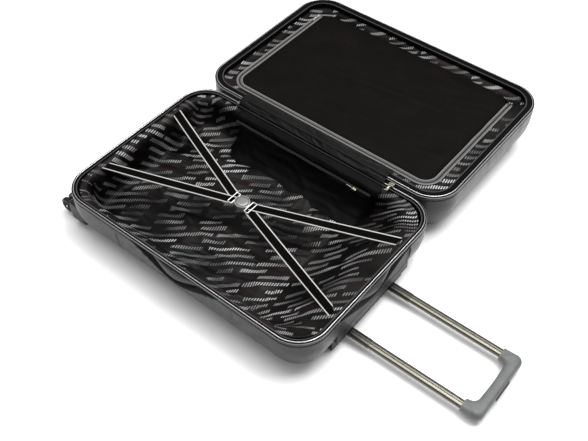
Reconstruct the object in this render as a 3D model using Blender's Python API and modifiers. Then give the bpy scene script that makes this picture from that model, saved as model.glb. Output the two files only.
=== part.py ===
"""Hard shell suitcase on wheels, lying open: shell halves, linings, straps, divider, trolley handle, casters.

Metres. +Z is up and the floor is z = 0. +X runs to the trolley handle end, +Y from the base half to the lid.
The origin is the middle of the base half's flat underside.
"""

import math

import bmesh
import bpy
from mathutils import Matrix, Vector

# Shell halves
SHELL_LENGTH = 0.708
SHELL_WIDTH = 0.478
CORNER_RADIUS = 0.074
WALL = 0.003
BASE_DEPTH = 0.130
LID_DEPTH = 0.140
RIM_STRAIGHT = 0.030
EDGE_INSET = 0.068
LID_Y = 0.480
GAP = 0.0003

# Rim pieces, measured inwards from the shell's outer face
PIPING_INSET = 0.0046
PIPING_RADIUS = 0.0016
TAPE_OUTER = 0.0034
BASE_TAPE_INNER = 0.0095
LID_TAPE_INNER = 0.0180
COIL_BESIDE_TAPE = 0.0020
COIL_RADIUS = 0.0014

# Telescopic handle
TUBE_Y = 0.0755
TUBE_Z = 0.025
INNER_TUBE = (0.0210, 0.0120)
MID_TUBE = (0.0246, 0.0156)
OUTER_TUBE = (0.0282, 0.0192)
TUBE_WALL = 0.0015
HOUSING_BACK = 0.3055
HOUSING_FACE = 0.3405
HOUSING_FRONT = 0.352
HOUSING_HALF = 0.128
HOUSING_LOW = 0.006
HOUSING_HIGH = 0.114
STOW_FLOOR = 0.309
GRIP_X = (0.6220, 0.6680)
GRIP_HALF = 0.089

# Carry handles
SIDE_HANDLE_X = 0.005
SIDE_HANDLE_Z = 0.0975
TOP_HANDLE_Z = 0.088
CUP_LENGTH = 0.252
CUP_HEIGHT = 0.048

# Casters
CASTER_Y = 0.198
CASTER_Z = 0.050
CASTER_FACE = -0.3505
WHEEL_RADIUS = 0.0200
WHEEL_WIDTH = 0.0115
WHEEL_OFFSET = 0.0098
TRAIL = 0.018
AXLE_X = -0.3785

# Straps and buckle
STRAP_END_X = 0.3245
STRAP_END_Y = 0.1175
STRAP_WIDTH = 0.023
STRAP_Z = 0.1180
RING_Z = 0.1142
BUCKLE_X = -0.011
BUCKLE_Y = -0.002

# Divider panel in the lid
PANEL_HALF = 0.286
PANEL_Y = (0.298, 0.668)
PANEL_Z = 0.1300
PANEL_THICK = 0.0024

for old in list(bpy.data.objects):
    bpy.data.objects.remove(old, do_unlink=True)

PARTS = bpy.data.collections.new("hard_shell_suitcase")
CUTTERS = bpy.data.collections.new("cutters")
bpy.context.scene.collection.children.link(PARTS)
bpy.context.scene.collection.children.link(CUTTERS)


def material(name, colour, metallic=0.0, roughness=0.5):
    mat = bpy.data.materials.new(name)
    mat.use_nodes = True
    shader = mat.node_tree.nodes["Principled BSDF"]
    shader.inputs["Base Color"].default_value = (*colour, 1.0)
    shader.inputs["Metallic"].default_value = metallic
    shader.inputs["Roughness"].default_value = roughness
    return mat


SHELL_GREY = (0.20, 0.20, 0.205)
FABRIC_BLACK = (0.015, 0.014, 0.014)
PLASTIC_BLACK = (0.02, 0.02, 0.02)
PLASTIC_GREY = (0.16, 0.16, 0.165)
ALUMINIUM = (0.55, 0.53, 0.47)
SILVER = (0.72, 0.72, 0.72)
BRASS = (0.62, 0.50, 0.28)
PALE_BRASS = (0.75, 0.70, 0.55)
WEBBING = (0.03, 0.024, 0.018)
RUBBER = (0.025, 0.025, 0.025)


def from_mesh(name, mesh, colour, metallic=0.0, roughness=0.5, origin=(0, 0, 0), smooth=True):
    """Adds a named part whose mesh is in world metres, with its origin moved to the joint point."""
    mesh.transform(Matrix.Translation(-Vector(origin)))
    mesh.name = name
    obj = bpy.data.objects.new(name, mesh)
    obj.location = origin
    mesh.materials.clear()
    mesh.materials.append(material(name, colour, metallic, roughness))
    for face in mesh.polygons:
        face.use_smooth = smooth
    PARTS.objects.link(obj)
    return obj


def to_mesh(bm):
    mesh = bpy.data.meshes.new("mesh")
    bm.to_mesh(mesh)
    bm.free()
    return mesh


def cutter(name, mesh):
    obj = bpy.data.objects.new(name, mesh)
    obj.hide_render = True
    obj.display_type = "WIRE"
    CUTTERS.objects.link(obj)
    return obj


def cut(target, tool):
    mod = target.modifiers.new("cut " + tool.name, "BOOLEAN")
    mod.operation = "DIFFERENCE"
    mod.solver = "EXACT"
    mod.object = tool


def bevel(obj, width, segments=2, angle=40):
    mod = obj.modifiers.new("edges", "BEVEL")
    mod.width = width
    mod.segments = segments
    mod.limit_method = "ANGLE"
    mod.angle_limit = math.radians(angle)


def rounded_rectangle(x_low, x_high, y_low, y_high, radius, steps=6):
    """Corner points of a rounded rectangle, anticlockwise seen from +Z."""
    points = []
    centres = (
        (x_high - radius, y_high - radius),
        (x_low + radius, y_high - radius),
        (x_low + radius, y_low + radius),
        (x_high - radius, y_low + radius),
    )
    for quarter, (cx, cy) in enumerate(centres):
        for k in range(steps + 1):
            angle = math.pi / 2 * (quarter + k / steps)
            points.append((cx + radius * math.cos(angle), cy + radius * math.sin(angle)))
    return points


def stadium(width, height, steps=6):
    """Outline of a flat oval bar, width across and height tall, centred on zero."""
    return rounded_rectangle(-width / 2, width / 2, -height / 2, height / 2, height / 2 - 1e-5, steps)


def loft(rings):
    """Open-topped tray: joins the rings from the rim down and closes the last one. Faces point out."""
    bm = bmesh.new()
    loops = [[bm.verts.new(point) for point in ring] for ring in rings]
    for upper, lower in zip(loops, loops[1:]):
        count = len(upper)
        for i in range(count):
            j = (i + 1) % count
            bm.faces.new((upper[i], lower[i], lower[j], upper[j]))
    bm.faces.new(list(reversed(loops[-1])))
    return bm


def prism(outlines, low, high):
    """Flat outline with optional holes, standing from low to high along Z."""
    curve = bpy.data.curves.new("outline", "CURVE")
    curve.dimensions = "2D"
    curve.fill_mode = "BOTH"
    curve.extrude = (high - low) / 2
    for outline in outlines:
        spline = curve.splines.new("POLY")
        spline.points.add(len(outline) - 1)
        for point, (x, y) in zip(spline.points, outline):
            point.co = (x, y, 0, 1)
        spline.use_cyclic_u = True
    return settled(curve, Matrix.Translation((0, 0, (low + high) / 2)))


def settled(curve, placement):
    """Turns a curve into a welded mesh and drops the curve."""
    guide = bpy.data.objects.new("guide", curve)
    bpy.context.scene.collection.objects.link(guide)
    bpy.context.view_layer.update()
    mesh = bpy.data.meshes.new_from_object(guide.evaluated_get(bpy.context.evaluated_depsgraph_get()))
    bpy.data.objects.remove(guide, do_unlink=True)
    bpy.data.curves.remove(curve)
    bm = bmesh.new()
    bm.from_mesh(mesh)
    bmesh.ops.remove_doubles(bm, verts=bm.verts, dist=1e-6)
    bmesh.ops.recalc_face_normals(bm, faces=bm.faces)
    bmesh.ops.transform(bm, matrix=placement, verts=bm.verts)
    bpy.data.meshes.remove(mesh)
    return to_mesh(bm)


def bead(points, radius, closed=True, sides=1):
    """Round cord along a path."""
    curve = bpy.data.curves.new("bead", "CURVE")
    curve.dimensions = "3D"
    curve.bevel_depth = radius
    curve.bevel_resolution = sides
    curve.use_fill_caps = True
    spline = curve.splines.new("POLY")
    spline.points.add(len(points) - 1)
    for point, co in zip(spline.points, points):
        point.co = (*co, 1)
    spline.use_cyclic_u = closed
    return settled(curve, Matrix.Identity(4))


def box(x_low, x_high, y_low, y_high, z_low, z_high):
    bm = bmesh.new()
    bmesh.ops.create_cube(bm, size=1)
    size = (x_high - x_low, y_high - y_low, z_high - z_low)
    middle = ((x_low + x_high) / 2, (y_low + y_high) / 2, (z_low + z_high) / 2)
    bmesh.ops.scale(bm, vec=size, verts=bm.verts)
    bmesh.ops.translate(bm, vec=middle, verts=bm.verts)
    return to_mesh(bm)


def cylinder(radius, start, end, axis="Z", centre=(0, 0), sides=24):
    """Solid cylinder from start to end along one axis."""
    bm = bmesh.new()
    bmesh.ops.create_cone(
        bm, cap_ends=True, segments=sides, radius1=radius, radius2=radius, depth=end - start
    )
    middle = (start + end) / 2
    if axis == "X":
        bmesh.ops.rotate(bm, cent=(0, 0, 0), matrix=Matrix.Rotation(math.pi / 2, 3, "Y"), verts=bm.verts)
        bmesh.ops.translate(bm, vec=(middle, centre[0], centre[1]), verts=bm.verts)
    elif axis == "Y":
        bmesh.ops.rotate(bm, cent=(0, 0, 0), matrix=Matrix.Rotation(math.pi / 2, 3, "X"), verts=bm.verts)
        bmesh.ops.translate(bm, vec=(centre[0], middle, centre[1]), verts=bm.verts)
    else:
        bmesh.ops.translate(bm, vec=(centre[0], centre[1], middle), verts=bm.verts)
    return to_mesh(bm)


def stand_up(mesh, to_axis):
    """Turns a mesh drawn in XY and standing along Z so that it stands along X or Y instead."""
    if to_axis == "X":
        mesh.transform(Matrix(((0, 0, 1, 0), (1, 0, 0, 0), (0, 1, 0, 0), (0, 0, 0, 1))))
    else:
        mesh.transform(Matrix(((1, 0, 0, 0), (0, 0, -1, 0), (0, 1, 0, 0), (0, 0, 0, 1))))
    return mesh


# Shell halves


def shell_rings(centre_y, depth, grow=0.0):
    """Rings of a domed shell half: a straight band at the rim, then an elliptical edge down to the flat."""
    half_x = SHELL_LENGTH / 2 + grow
    half_y = SHELL_WIDTH / 2 + grow
    drop = depth - RIM_STRAIGHT + grow
    levels = [(0.0, depth), (0.0, depth - RIM_STRAIGHT)]
    for k in range(1, 7):
        turn = math.pi / 2 * k / 6
        inset = EDGE_INSET * (1 - math.cos(turn))
        levels.append((inset, depth - RIM_STRAIGHT - drop * math.sin(turn)))
    rings = []
    for inset, z in levels:
        outline = rounded_rectangle(
            -half_x + inset,
            half_x - inset,
            centre_y - half_y + inset,
            centre_y + half_y - inset,
            CORNER_RADIUS + grow - inset,
        )
        rings.append([(x, y, z) for x, y in outline])
    return rings


def add_shell(name, centre_y, depth):
    shell = from_mesh(name, to_mesh(loft(shell_rings(centre_y, depth))), SHELL_GREY, 0.2, 0.42)
    wall = shell.modifiers.new("wall", "SOLIDIFY")
    wall.thickness = WALL
    wall.offset = -1
    wall.use_even_offset = True
    return shell


def shell_envelope(name, centre_y, depth):
    """Closed block a gap larger than a shell half, for trimming what sits against its outside."""
    bm = loft(shell_rings(centre_y, depth, GAP))
    bmesh.ops.holes_fill(bm, edges=[e for e in bm.edges if e.is_boundary])
    bmesh.ops.recalc_face_normals(bm, faces=bm.faces)
    return cutter(name, to_mesh(bm))


def rim_outline(centre_y, inset, steps=6):
    half_x = SHELL_LENGTH / 2 - inset
    half_y = SHELL_WIDTH / 2 - inset
    return rounded_rectangle(
        -half_x, half_x, centre_y - half_y, centre_y + half_y, CORNER_RADIUS - inset, steps
    )


def add_rim(prefix, centre_y, rim_z, tape_inner):
    """Bright piping, flat zip tape and zip coil round one half."""
    piping = [(x, y, rim_z + 0.0015) for x, y in rim_outline(centre_y, PIPING_INSET, 5)]
    from_mesh(prefix + "_rim_piping", bead(piping, PIPING_RADIUS), SILVER, 0.3, 0.3)
    outlines = (rim_outline(centre_y, TAPE_OUTER), rim_outline(centre_y, tape_inner))
    tape = prism(outlines, rim_z - 0.0015, rim_z - 0.0004)
    from_mesh(prefix + "_zip_tape", tape, FABRIC_BLACK, 0, 0.8, smooth=False)
    coil = [(x, y, rim_z - 0.0008) for x, y in rim_outline(centre_y, tape_inner + COIL_BESIDE_TAPE, 5)]
    from_mesh(prefix + "_zip_coil", bead(coil, COIL_RADIUS), (0.12, 0.12, 0.12), 0, 0.6)


def add_lining(name, rings):
    lining = from_mesh(name, to_mesh(loft(rings)), FABRIC_BLACK, 0, 0.8)
    skin = lining.modifiers.new("cloth", "SOLIDIFY")
    skin.thickness = 0.0012
    skin.offset = -1


def ring_at(z, x_low, x_high, y_low, y_high, radius):
    return [(x, y, z) for x, y in rounded_rectangle(x_low, x_high, y_low, y_high, radius)]


def add_linings():
    add_lining(
        "base_lining",
        [
            ring_at(0.1265, -0.340, 0.340, -0.225, 0.225, 0.060),
            ring_at(0.1240, -0.3325, 0.3325, -0.2175, 0.2175, 0.0525),
            ring_at(0.1162, -0.331, 0.331, -0.216, 0.216, 0.051),
            ring_at(0.1152, -0.330, 0.304, -0.215, 0.215, 0.050),
            ring_at(0.0800, -0.322, 0.301, -0.208, 0.208, 0.045),
            ring_at(0.0540, -0.312, 0.298, -0.198, 0.198, 0.036),
            ring_at(0.0420, -0.298, 0.290, -0.184, 0.184, 0.022),
            ring_at(0.0380, -0.285, 0.278, -0.170, 0.170, 0.010),
        ],
    )
    low, high = LID_Y - 0.217, LID_Y + 0.217
    add_lining(
        "lid_lining",
        [
            ring_at(0.1240, -0.332, 0.332, low, high, 0.052),
            ring_at(0.0900, -0.331, 0.331, low + 0.001, high - 0.001, 0.050),
            ring_at(0.0500, -0.318, 0.318, low + 0.014, high - 0.014, 0.038),
            ring_at(0.0220, -0.298, 0.298, low + 0.034, high - 0.034, 0.018),
            ring_at(0.0100, -0.280, 0.280, low + 0.052, high - 0.052, 0.006),
        ],
    )


# Lid divider


def add_divider():
    """Border lining, divider panel sewn along the far side, its zip tape, slider and pull."""
    low, high = PANEL_Y
    outer = rounded_rectangle(-0.332, 0.332, LID_Y - 0.217, LID_Y + 0.217, 0.052)
    inner = rounded_rectangle(-PANEL_HALF - 0.0185, PANEL_HALF + 0.0185, low - 0.0185, high + 0.003, 0.034)
    from_mesh("lid_border", prism((outer, inner), 0.1250, 0.1264), FABRIC_BLACK, 0, 0.8, smooth=False)
    panel = rounded_rectangle(-PANEL_HALF, PANEL_HALF, low, high, 0.030)
    from_mesh(
        "divider_panel",
        prism((panel,), PANEL_Z - PANEL_THICK, PANEL_Z),
        (0.02, 0.017, 0.015),
        0,
        0.85,
        origin=(0, high, PANEL_Z - PANEL_THICK / 2),
        smooth=False,
    )
    track = divider_track(low)
    from_mesh("divider_zip", prism((track,), 0.1268, 0.1284), (0.35, 0.34, 0.33), 0, 0.7, smooth=False)
    add_slider("divider_zip_slider", (-0.2950, 0.6430, 0.1306), 0.0086, 0.0110, 0.0040, PALE_BRASS)
    toward_near = Matrix.Rotation(-math.pi / 2, 4, "Z")
    add_pull("divider_zip_pull", (-0.2950, 0.6359, 0.1312), 0.0190, toward_near, PALE_BRASS)


def divider_track(low):
    """C-shaped strip around the three zipped sides of the divider panel."""
    gap = 0.0006
    width = 0.0165
    end_y = 0.650
    inside = PANEL_HALF + gap
    outside = inside + width
    points = []
    edges = ((outside, low - gap - width, 0.046, 1), (inside, low - gap, 0.030, -1))
    for half, base, radius, order in edges:
        arc = []
        for cx, start in ((-half + radius, math.pi), (half - radius, 1.5 * math.pi)):
            for k in range(7):
                angle = start + math.pi / 2 * k / 6
                arc.append((cx + radius * math.cos(angle), base + radius + radius * math.sin(angle)))
        arc = [(-half, end_y)] + arc + [(half, end_y)]
        points += arc[::order]
    return points


def add_slider(name, middle, length, width, height, colour=BRASS):
    """Zip slider: a rounded block with a bridge over it."""
    x, y, z = middle
    body = from_mesh(
        name,
        box(x - length / 2, x + length / 2, y - width / 2, y + width / 2, z - height / 2, z + height / 2),
        colour,
        0.9,
        0.3,
        origin=middle,
    )
    bevel(body, min(length, width, height) * 0.28)
    return body


def add_pull(name, hinge, length, turn, colour=BRASS):
    """Flat pull tab lying along +X from its hinge before the turn, with an eye at the free end."""
    width = 0.0060
    thickness = 0.0014
    radius = width / 2
    outline = rounded_rectangle(-0.0012, length, -radius, radius, radius * 0.6, 4)
    cx = length - radius
    hole = [
        (cx + 0.42 * radius * math.cos(a * math.pi / 4), 0.42 * radius * math.sin(a * math.pi / 4))
        for a in range(8)
    ]
    mesh = prism((outline, hole), -thickness / 2, thickness / 2)
    mesh.transform(Matrix.Translation(hinge) @ turn)
    return from_mesh(name, mesh, colour, 0.9, 0.3, origin=hinge, smooth=False)


# Hinge side of the base


def add_hinge_side():
    section = [
        (0.2690, 0.1436),
        (0.2690, 0.1448),
        (0.2425, 0.1448),
        (0.2290, 0.1352),
        (0.2297, 0.1340),
        (0.2430, 0.1436),
    ]
    gusset = stand_up(prism((section,), -0.222, 0.209), "X")
    from_mesh("hinge_gusset", gusset, FABRIC_BLACK, 0, 0.5, smooth=False)
    slope = [
        (0.1965, 0.1090),
        (0.1925, 0.1090),
        (0.1780, 0.0750),
        (0.1360, 0.0440),
        (0.1380, 0.0410),
        (0.1640, 0.0525),
        (0.1880, 0.0720),
    ]
    pocket = stand_up(prism((slope,), -0.205, 0.212), "X")
    from_mesh("base_wall_pocket", pocket, FABRIC_BLACK, 0, 0.45, smooth=False)
    strip = box(-0.200, 0.200, 0.1925, 0.1945, 0.1094, 0.1180)
    from_mesh("base_pocket_zip", strip, (0.1, 0.1, 0.1), 0, 0.7)
    add_slider("base_pocket_slider", (0.158, 0.1890, 0.1140), 0.011, 0.0062, 0.0070)
    flat_to_wall = Matrix.Rotation(math.pi, 4, "Z") @ Matrix.Rotation(math.pi / 2, 4, "X")
    add_pull("base_pocket_pull", (0.1509, 0.1892, 0.1140), 0.017, flat_to_wall)
    add_slider("main_zip_slider", (0.2265, 0.2358, 0.1359), 0.012, 0.0088, 0.0045)
    add_pull("main_zip_pull", (0.2265, 0.2297, 0.1362), 0.016, Matrix.Rotation(-math.pi / 2, 4, "Z"))


# Straps and buckle


def add_strap(name, side, turn, level):
    """One webbing arm from the wall at (side, turn) to the ring beside the buckle."""
    start = Vector((side * STRAP_END_X, turn * STRAP_END_Y))
    end = Vector((BUCKLE_X + side * 0.0275, BUCKLE_Y + turn * 0.0055))
    run = (end - start).normalized()
    across = Vector((-run.y, run.x)) * STRAP_WIDTH / 2
    outline = [tuple(p) for p in (start + across, start - across, end - across, end + across)]
    low = STRAP_Z + level * 0.0018
    from_mesh(name, prism((outline,), low, low + 0.0012), WEBBING, 0, 0.8, smooth=False)


def add_buckle():
    for name, side in (("buckle_ring_left", -1), ("buckle_ring_right", 1)):
        near = BUCKLE_X + side * 0.0183
        far = BUCKLE_X + side * 0.0303
        tongue = BUCKLE_X + side * 0.0060
        low, high = sorted((near, far))
        outer = rounded_rectangle(low, high, BUCKLE_Y - 0.0180, BUCKLE_Y + 0.0180, 0.0022, 3)
        hole = rounded_rectangle(low + 0.0026, high - 0.0026, BUCKLE_Y - 0.0154, BUCKLE_Y + 0.0154, 0.0010, 3)
        ring = from_mesh(name, prism((outer, hole), RING_Z, RING_Z + 0.0028), SILVER, 1, 0.25, smooth=False)
        low, high = sorted((near + side * 0.0010, tongue))
        tongue_mesh = box(low, high, BUCKLE_Y - 0.0060, BUCKLE_Y + 0.0060, RING_Z + 0.0004, RING_Z + 0.0024)
        blade = cutter(name + "_blade", tongue_mesh)
        join = ring.modifiers.new("blade", "BOOLEAN")
        join.operation = "UNION"
        join.solver = "EXACT"
        join.object = blade
    centre = (BUCKLE_X, BUCKLE_Y)
    disc = cylinder(0.0180, RING_Z - 0.0032, RING_Z + 0.0066, "Z", centre, 32)
    body = from_mesh("buckle_body", disc, SILVER, 0.8, 0.3)
    low, high = BUCKLE_X - 0.03, BUCKLE_X + 0.03
    slot = box(low, high, BUCKLE_Y - 0.0064, BUCKLE_Y + 0.0064, RING_Z, RING_Z + 0.0028)
    cut(body, cutter("buckle_slot", slot))
    cut(body, cutter("buckle_bore", cylinder(0.0128, RING_Z + 0.0032, RING_Z + 0.0200, "Z", centre, 32)))
    button = from_mesh(
        "buckle_button",
        cylinder(0.0125, RING_Z + 0.0056, RING_Z + 0.0084, "Z", centre, 32),
        SILVER,
        1,
        0.25,
        origin=(BUCKLE_X, BUCKLE_Y, RING_Z + 0.0056),
    )
    bevel(button, 0.0008)


# Telescopic handle


def add_tube(name, y, profile, x_low, x_high, tint, origin):
    width, height = profile
    inner = stadium(width - 2 * TUBE_WALL, height - 2 * TUBE_WALL)
    mesh = stand_up(prism((stadium(width, height), inner), x_low, x_high), "X")
    mesh.transform(Matrix.Translation((0, y, TUBE_Z)))
    return from_mesh(name, mesh, tint, 0.9, 0.35, origin=origin)


def tube_bore(name, y, profile, clearance, x_low, x_high):
    width, height = profile
    mesh = stand_up(prism((stadium(width + 2 * clearance, height + 2 * clearance),), x_low, x_high), "X")
    mesh.transform(Matrix.Translation((0, y, TUBE_Z)))
    return cutter(name, mesh)


def add_trolley():
    for side, y in (("left", TUBE_Y), ("right", -TUBE_Y)):
        add_tube("trolley_outer_tube_" + side, y, OUTER_TUBE, -0.270, 0.3050, ALUMINIUM, (0, y, TUBE_Z))
        add_tube("trolley_mid_tube_" + side, y, MID_TUBE, 0.125, 0.400, (0.30, 0.29, 0.26), (0.4, y, TUBE_Z))
        add_tube("trolley_inner_tube_" + side, y, INNER_TUBE, 0.365, 0.634, ALUMINIUM, (0.365, y, TUBE_Z))
    block = box(-0.298, -0.2705, -0.096, 0.096, 0.0072, 0.0366)
    foot = from_mesh("trolley_foot", block, PLASTIC_BLACK, 0, 0.6)
    bevel(foot, 0.003)
    add_housing()
    add_grip()


def add_housing():
    """Plastic frame in the handle-end wall: a recess for the stowed grip, and the carry handle's above it."""
    housing = from_mesh(
        "handle_end_housing",
        box(HOUSING_BACK, HOUSING_FRONT, -HOUSING_HALF, HOUSING_HALF, HOUSING_LOW, HOUSING_HIGH),
        PLASTIC_GREY,
        0,
        0.5,
    )
    step = box(HOUSING_FACE, 0.40, -0.2, 0.2, 0.0, 0.0440)
    cut(housing, cutter("housing_step", step))
    half = GRIP_HALF + 0.0025
    stow = box(STOW_FLOOR, 0.40, -half, half, TUBE_Z - 0.0145, TUBE_Z + 0.0145)
    cut(housing, cutter("housing_stow", stow))
    recess = box(0.3320, 0.40, -CUP_LENGTH / 2 + 0.006, CUP_LENGTH / 2 - 0.006, 0.0660, 0.1100)
    cut(housing, cutter("housing_recess", recess))
    for side, y in (("left", TUBE_Y), ("right", -TUBE_Y)):
        cut(housing, tube_bore("mouth_" + side, y, MID_TUBE, GAP, 0.29, 0.37))
    bevel(housing, 0.0010, 1)


def add_grip():
    """U-shaped plastic grip with sockets for the tubes and a push strip let into its outer face."""
    low, high = GRIP_X
    outer = rounded_rectangle(low, high, -GRIP_HALF, GRIP_HALF, 0.016, 4)
    opening = rounded_rectangle(low - 0.020, high - 0.021, -0.0610, 0.0610, 0.007, 3)
    block = prism((outer,), TUBE_Z - 0.0130, TUBE_Z + 0.0130)
    grip = from_mesh("trolley_grip", block, PLASTIC_GREY, 0, 0.45, origin=(high, 0, TUBE_Z))
    cut(grip, cutter("grip_opening", prism((opening,), 0.0, 0.06)))
    for side, y in (("left", TUBE_Y), ("right", -TUBE_Y)):
        cut(grip, tube_bore("socket_" + side, y, INNER_TUBE, GAP, 0.60, 0.6345))
    slot = box(high - 0.0060, high + 0.01, -0.0265, 0.0265, TUBE_Z - 0.0048, TUBE_Z + 0.0048)
    cut(grip, cutter("button_slot", slot))
    bevel(grip, 0.0035, 2, 50)
    button = from_mesh(
        "trolley_button",
        box(high - 0.0025, high + 0.0022, -0.0260, 0.0260, TUBE_Z - 0.0043, TUBE_Z + 0.0043),
        PLASTIC_BLACK,
        0,
        0.4,
        origin=(high, 0, TUBE_Z),
    )
    bevel(button, 0.0012)


# Carry handles


def bowed_bar(half_length, bulge, thickness, low, high):
    """Bar in the XY plane, bowed towards -Y, with straight ends on y = 0."""
    outer = []
    steps = 12
    for k in range(steps + 1):
        t = -1 + 2 * k / steps
        outer.append((t * half_length, -bulge * (0.5 + 0.5 * math.cos(math.pi * t))))
    inner = [(x, y + thickness) for x, y in reversed(outer)]
    return prism((outer + inner,), low, high)


def add_side_handle(shell):
    half = CUP_LENGTH / 2
    low, high = SIDE_HANDLE_Z - CUP_HEIGHT / 2, SIDE_HANDLE_Z + CUP_HEIGHT / 2
    wall_y = -SHELL_WIDTH / 2
    left, right = SIDE_HANDLE_X - half, SIDE_HANDLE_X + half
    window = box(left - GAP, right + GAP, wall_y - 0.02, wall_y + 0.012, low - GAP, high + GAP)
    cut(shell, cutter("side_window", window))
    block = box(left, right, wall_y - 0.0006, wall_y + 0.0175, low, high)
    cup = from_mesh("side_handle_cup", block, PLASTIC_BLACK, 0, 0.5)
    hollow = box(left + 0.003, right - 0.003, wall_y - 0.02, wall_y + 0.0155, low + 0.003, high - 0.003)
    cut(cup, cutter("side_hollow", hollow))
    bevel(cup, 0.0008, 1)
    mesh = bowed_bar(0.118, 0.0155, 0.0070, SIDE_HANDLE_Z - 0.0130, SIDE_HANDLE_Z + 0.0130)
    mesh.transform(Matrix.Translation((SIDE_HANDLE_X, wall_y + 0.0050, 0)))
    origin = (SIDE_HANDLE_X, wall_y, SIDE_HANDLE_Z)
    handle = from_mesh("side_carry_handle", mesh, PLASTIC_GREY, 0, 0.45, origin=origin)
    bevel(handle, 0.0025, 2, 50)


def add_top_handle(shell):
    half = HOUSING_HALF + GAP
    window = box(0.300, 0.38, -half, half, HOUSING_LOW - GAP, HOUSING_HIGH + GAP)
    cut(shell, cutter("end_window", window))
    mesh = bowed_bar(0.116, 0.0155, 0.0070, TOP_HANDLE_Z - 0.0125, TOP_HANDLE_Z + 0.0125)
    place = Matrix.Translation((SHELL_LENGTH / 2 - 0.0065, 0, 0))
    mesh.transform(place @ Matrix.Rotation(math.pi / 2, 4, "Z"))
    origin = (SHELL_LENGTH / 2, 0, TOP_HANDLE_Z)
    handle = from_mesh("top_carry_handle", mesh, PLASTIC_GREY, 0, 0.45, origin=origin)
    bevel(handle, 0.0025, 2, 50)


# Casters


def add_caster(prefix, y, envelope):
    """Corner housing, swivelling fork with its axle, and two wheels hanging below the swivel."""
    wheel_z = CASTER_Z - TRAIL
    housing = from_mesh(
        prefix + "_housing",
        box(CASTER_FACE, -0.300, y - 0.028, y + 0.028, CASTER_Z - 0.028, CASTER_Z + 0.030),
        PLASTIC_BLACK,
        0,
        0.55,
    )
    bevel(housing, 0.008, 3)
    cut(housing, envelope)
    add_fork(prefix, y, wheel_z)
    for side, offset in (("a", -1), ("b", 1)):
        middle = y + offset * WHEEL_OFFSET
        start, end = middle - WHEEL_WIDTH / 2, middle + WHEEL_WIDTH / 2
        wheel = from_mesh(
            prefix + "_wheel_" + side,
            cylinder(WHEEL_RADIUS, start, end, "Y", (AXLE_X, wheel_z), 24),
            RUBBER,
            0,
            0.6,
            origin=(AXLE_X, middle, wheel_z),
        )
        bevel(wheel, 0.0022, 1)
        bore = cylinder(0.0033, start - 0.01, end + 0.01, "Y", (AXLE_X, wheel_z), 12)
        cut(wheel, cutter(prefix + "_bore_" + side, bore))


def add_fork(prefix, y, wheel_z):
    """Swivel disc, a hood web between the two wheels, and the axle through it."""
    fork = from_mesh(
        prefix + "_fork",
        cylinder(0.0190, CASTER_FACE - 0.0068, CASTER_FACE - GAP, "X", (y, CASTER_Z), 24),
        PLASTIC_BLACK,
        0,
        0.5,
        origin=(CASTER_FACE, y, CASTER_Z),
    )
    web = cutter(prefix + "_web", web_mesh(y, wheel_z))
    axle = cutter(prefix + "_axle", cylinder(0.0030, y - 0.0170, y + 0.0170, "Y", (AXLE_X, wheel_z), 12))
    for tool in (web, axle):
        join = fork.modifiers.new("join " + tool.name, "BOOLEAN")
        join.operation = "UNION"
        join.solver = "EXACT"
        join.object = tool


def web_mesh(y, wheel_z):
    """Thin plate from the swivel disc out to the axle, between the wheels."""
    outline = [
        (CASTER_FACE - 0.0062, CASTER_Z + 0.014),
        (CASTER_FACE - 0.0062, CASTER_Z - 0.015),
        (AXLE_X + 0.0060, wheel_z - 0.008),
        (AXLE_X - 0.0070, wheel_z - 0.006),
        (AXLE_X - 0.0080, wheel_z + 0.005),
        (CASTER_FACE - 0.0190, CASTER_Z + 0.008),
    ]
    mesh = prism((outline,), y - 0.0037, y + 0.0037)
    mesh.transform(Matrix(((1, 0, 0, 0), (0, 0, 1, 0), (0, 1, 0, 0), (0, 0, 0, 1))))
    mesh.flip_normals()
    return mesh


base_shell = add_shell("base_shell", 0.0, BASE_DEPTH)
lid_shell = add_shell("lid_shell", LID_Y, LID_DEPTH)
base_envelope = shell_envelope("base_envelope", 0.0, BASE_DEPTH)
lid_envelope = shell_envelope("lid_envelope", LID_Y, LID_DEPTH)
add_rim("base", 0.0, BASE_DEPTH, BASE_TAPE_INNER)
add_rim("lid", LID_Y, LID_DEPTH, LID_TAPE_INNER)
add_linings()
add_divider()
add_hinge_side()
add_strap("strap_left_far", -1, 1, 0)
add_strap("strap_left_near", -1, -1, 1)
add_strap("strap_right_far", 1, 1, 1)
add_strap("strap_right_near", 1, -1, 0)
add_buckle()
add_side_handle(base_shell)
add_top_handle(base_shell)
add_trolley()
for half, middle, envelope in (("base", 0.0, base_envelope), ("lid", LID_Y, lid_envelope)):
    add_caster(half + "_caster_near", middle - CASTER_Y, envelope)
    add_caster(half + "_caster_far", middle + CASTER_Y, envelope)
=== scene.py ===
import math

import bmesh
import bpy
import numpy as np
from mathutils import Matrix, Vector


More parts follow.
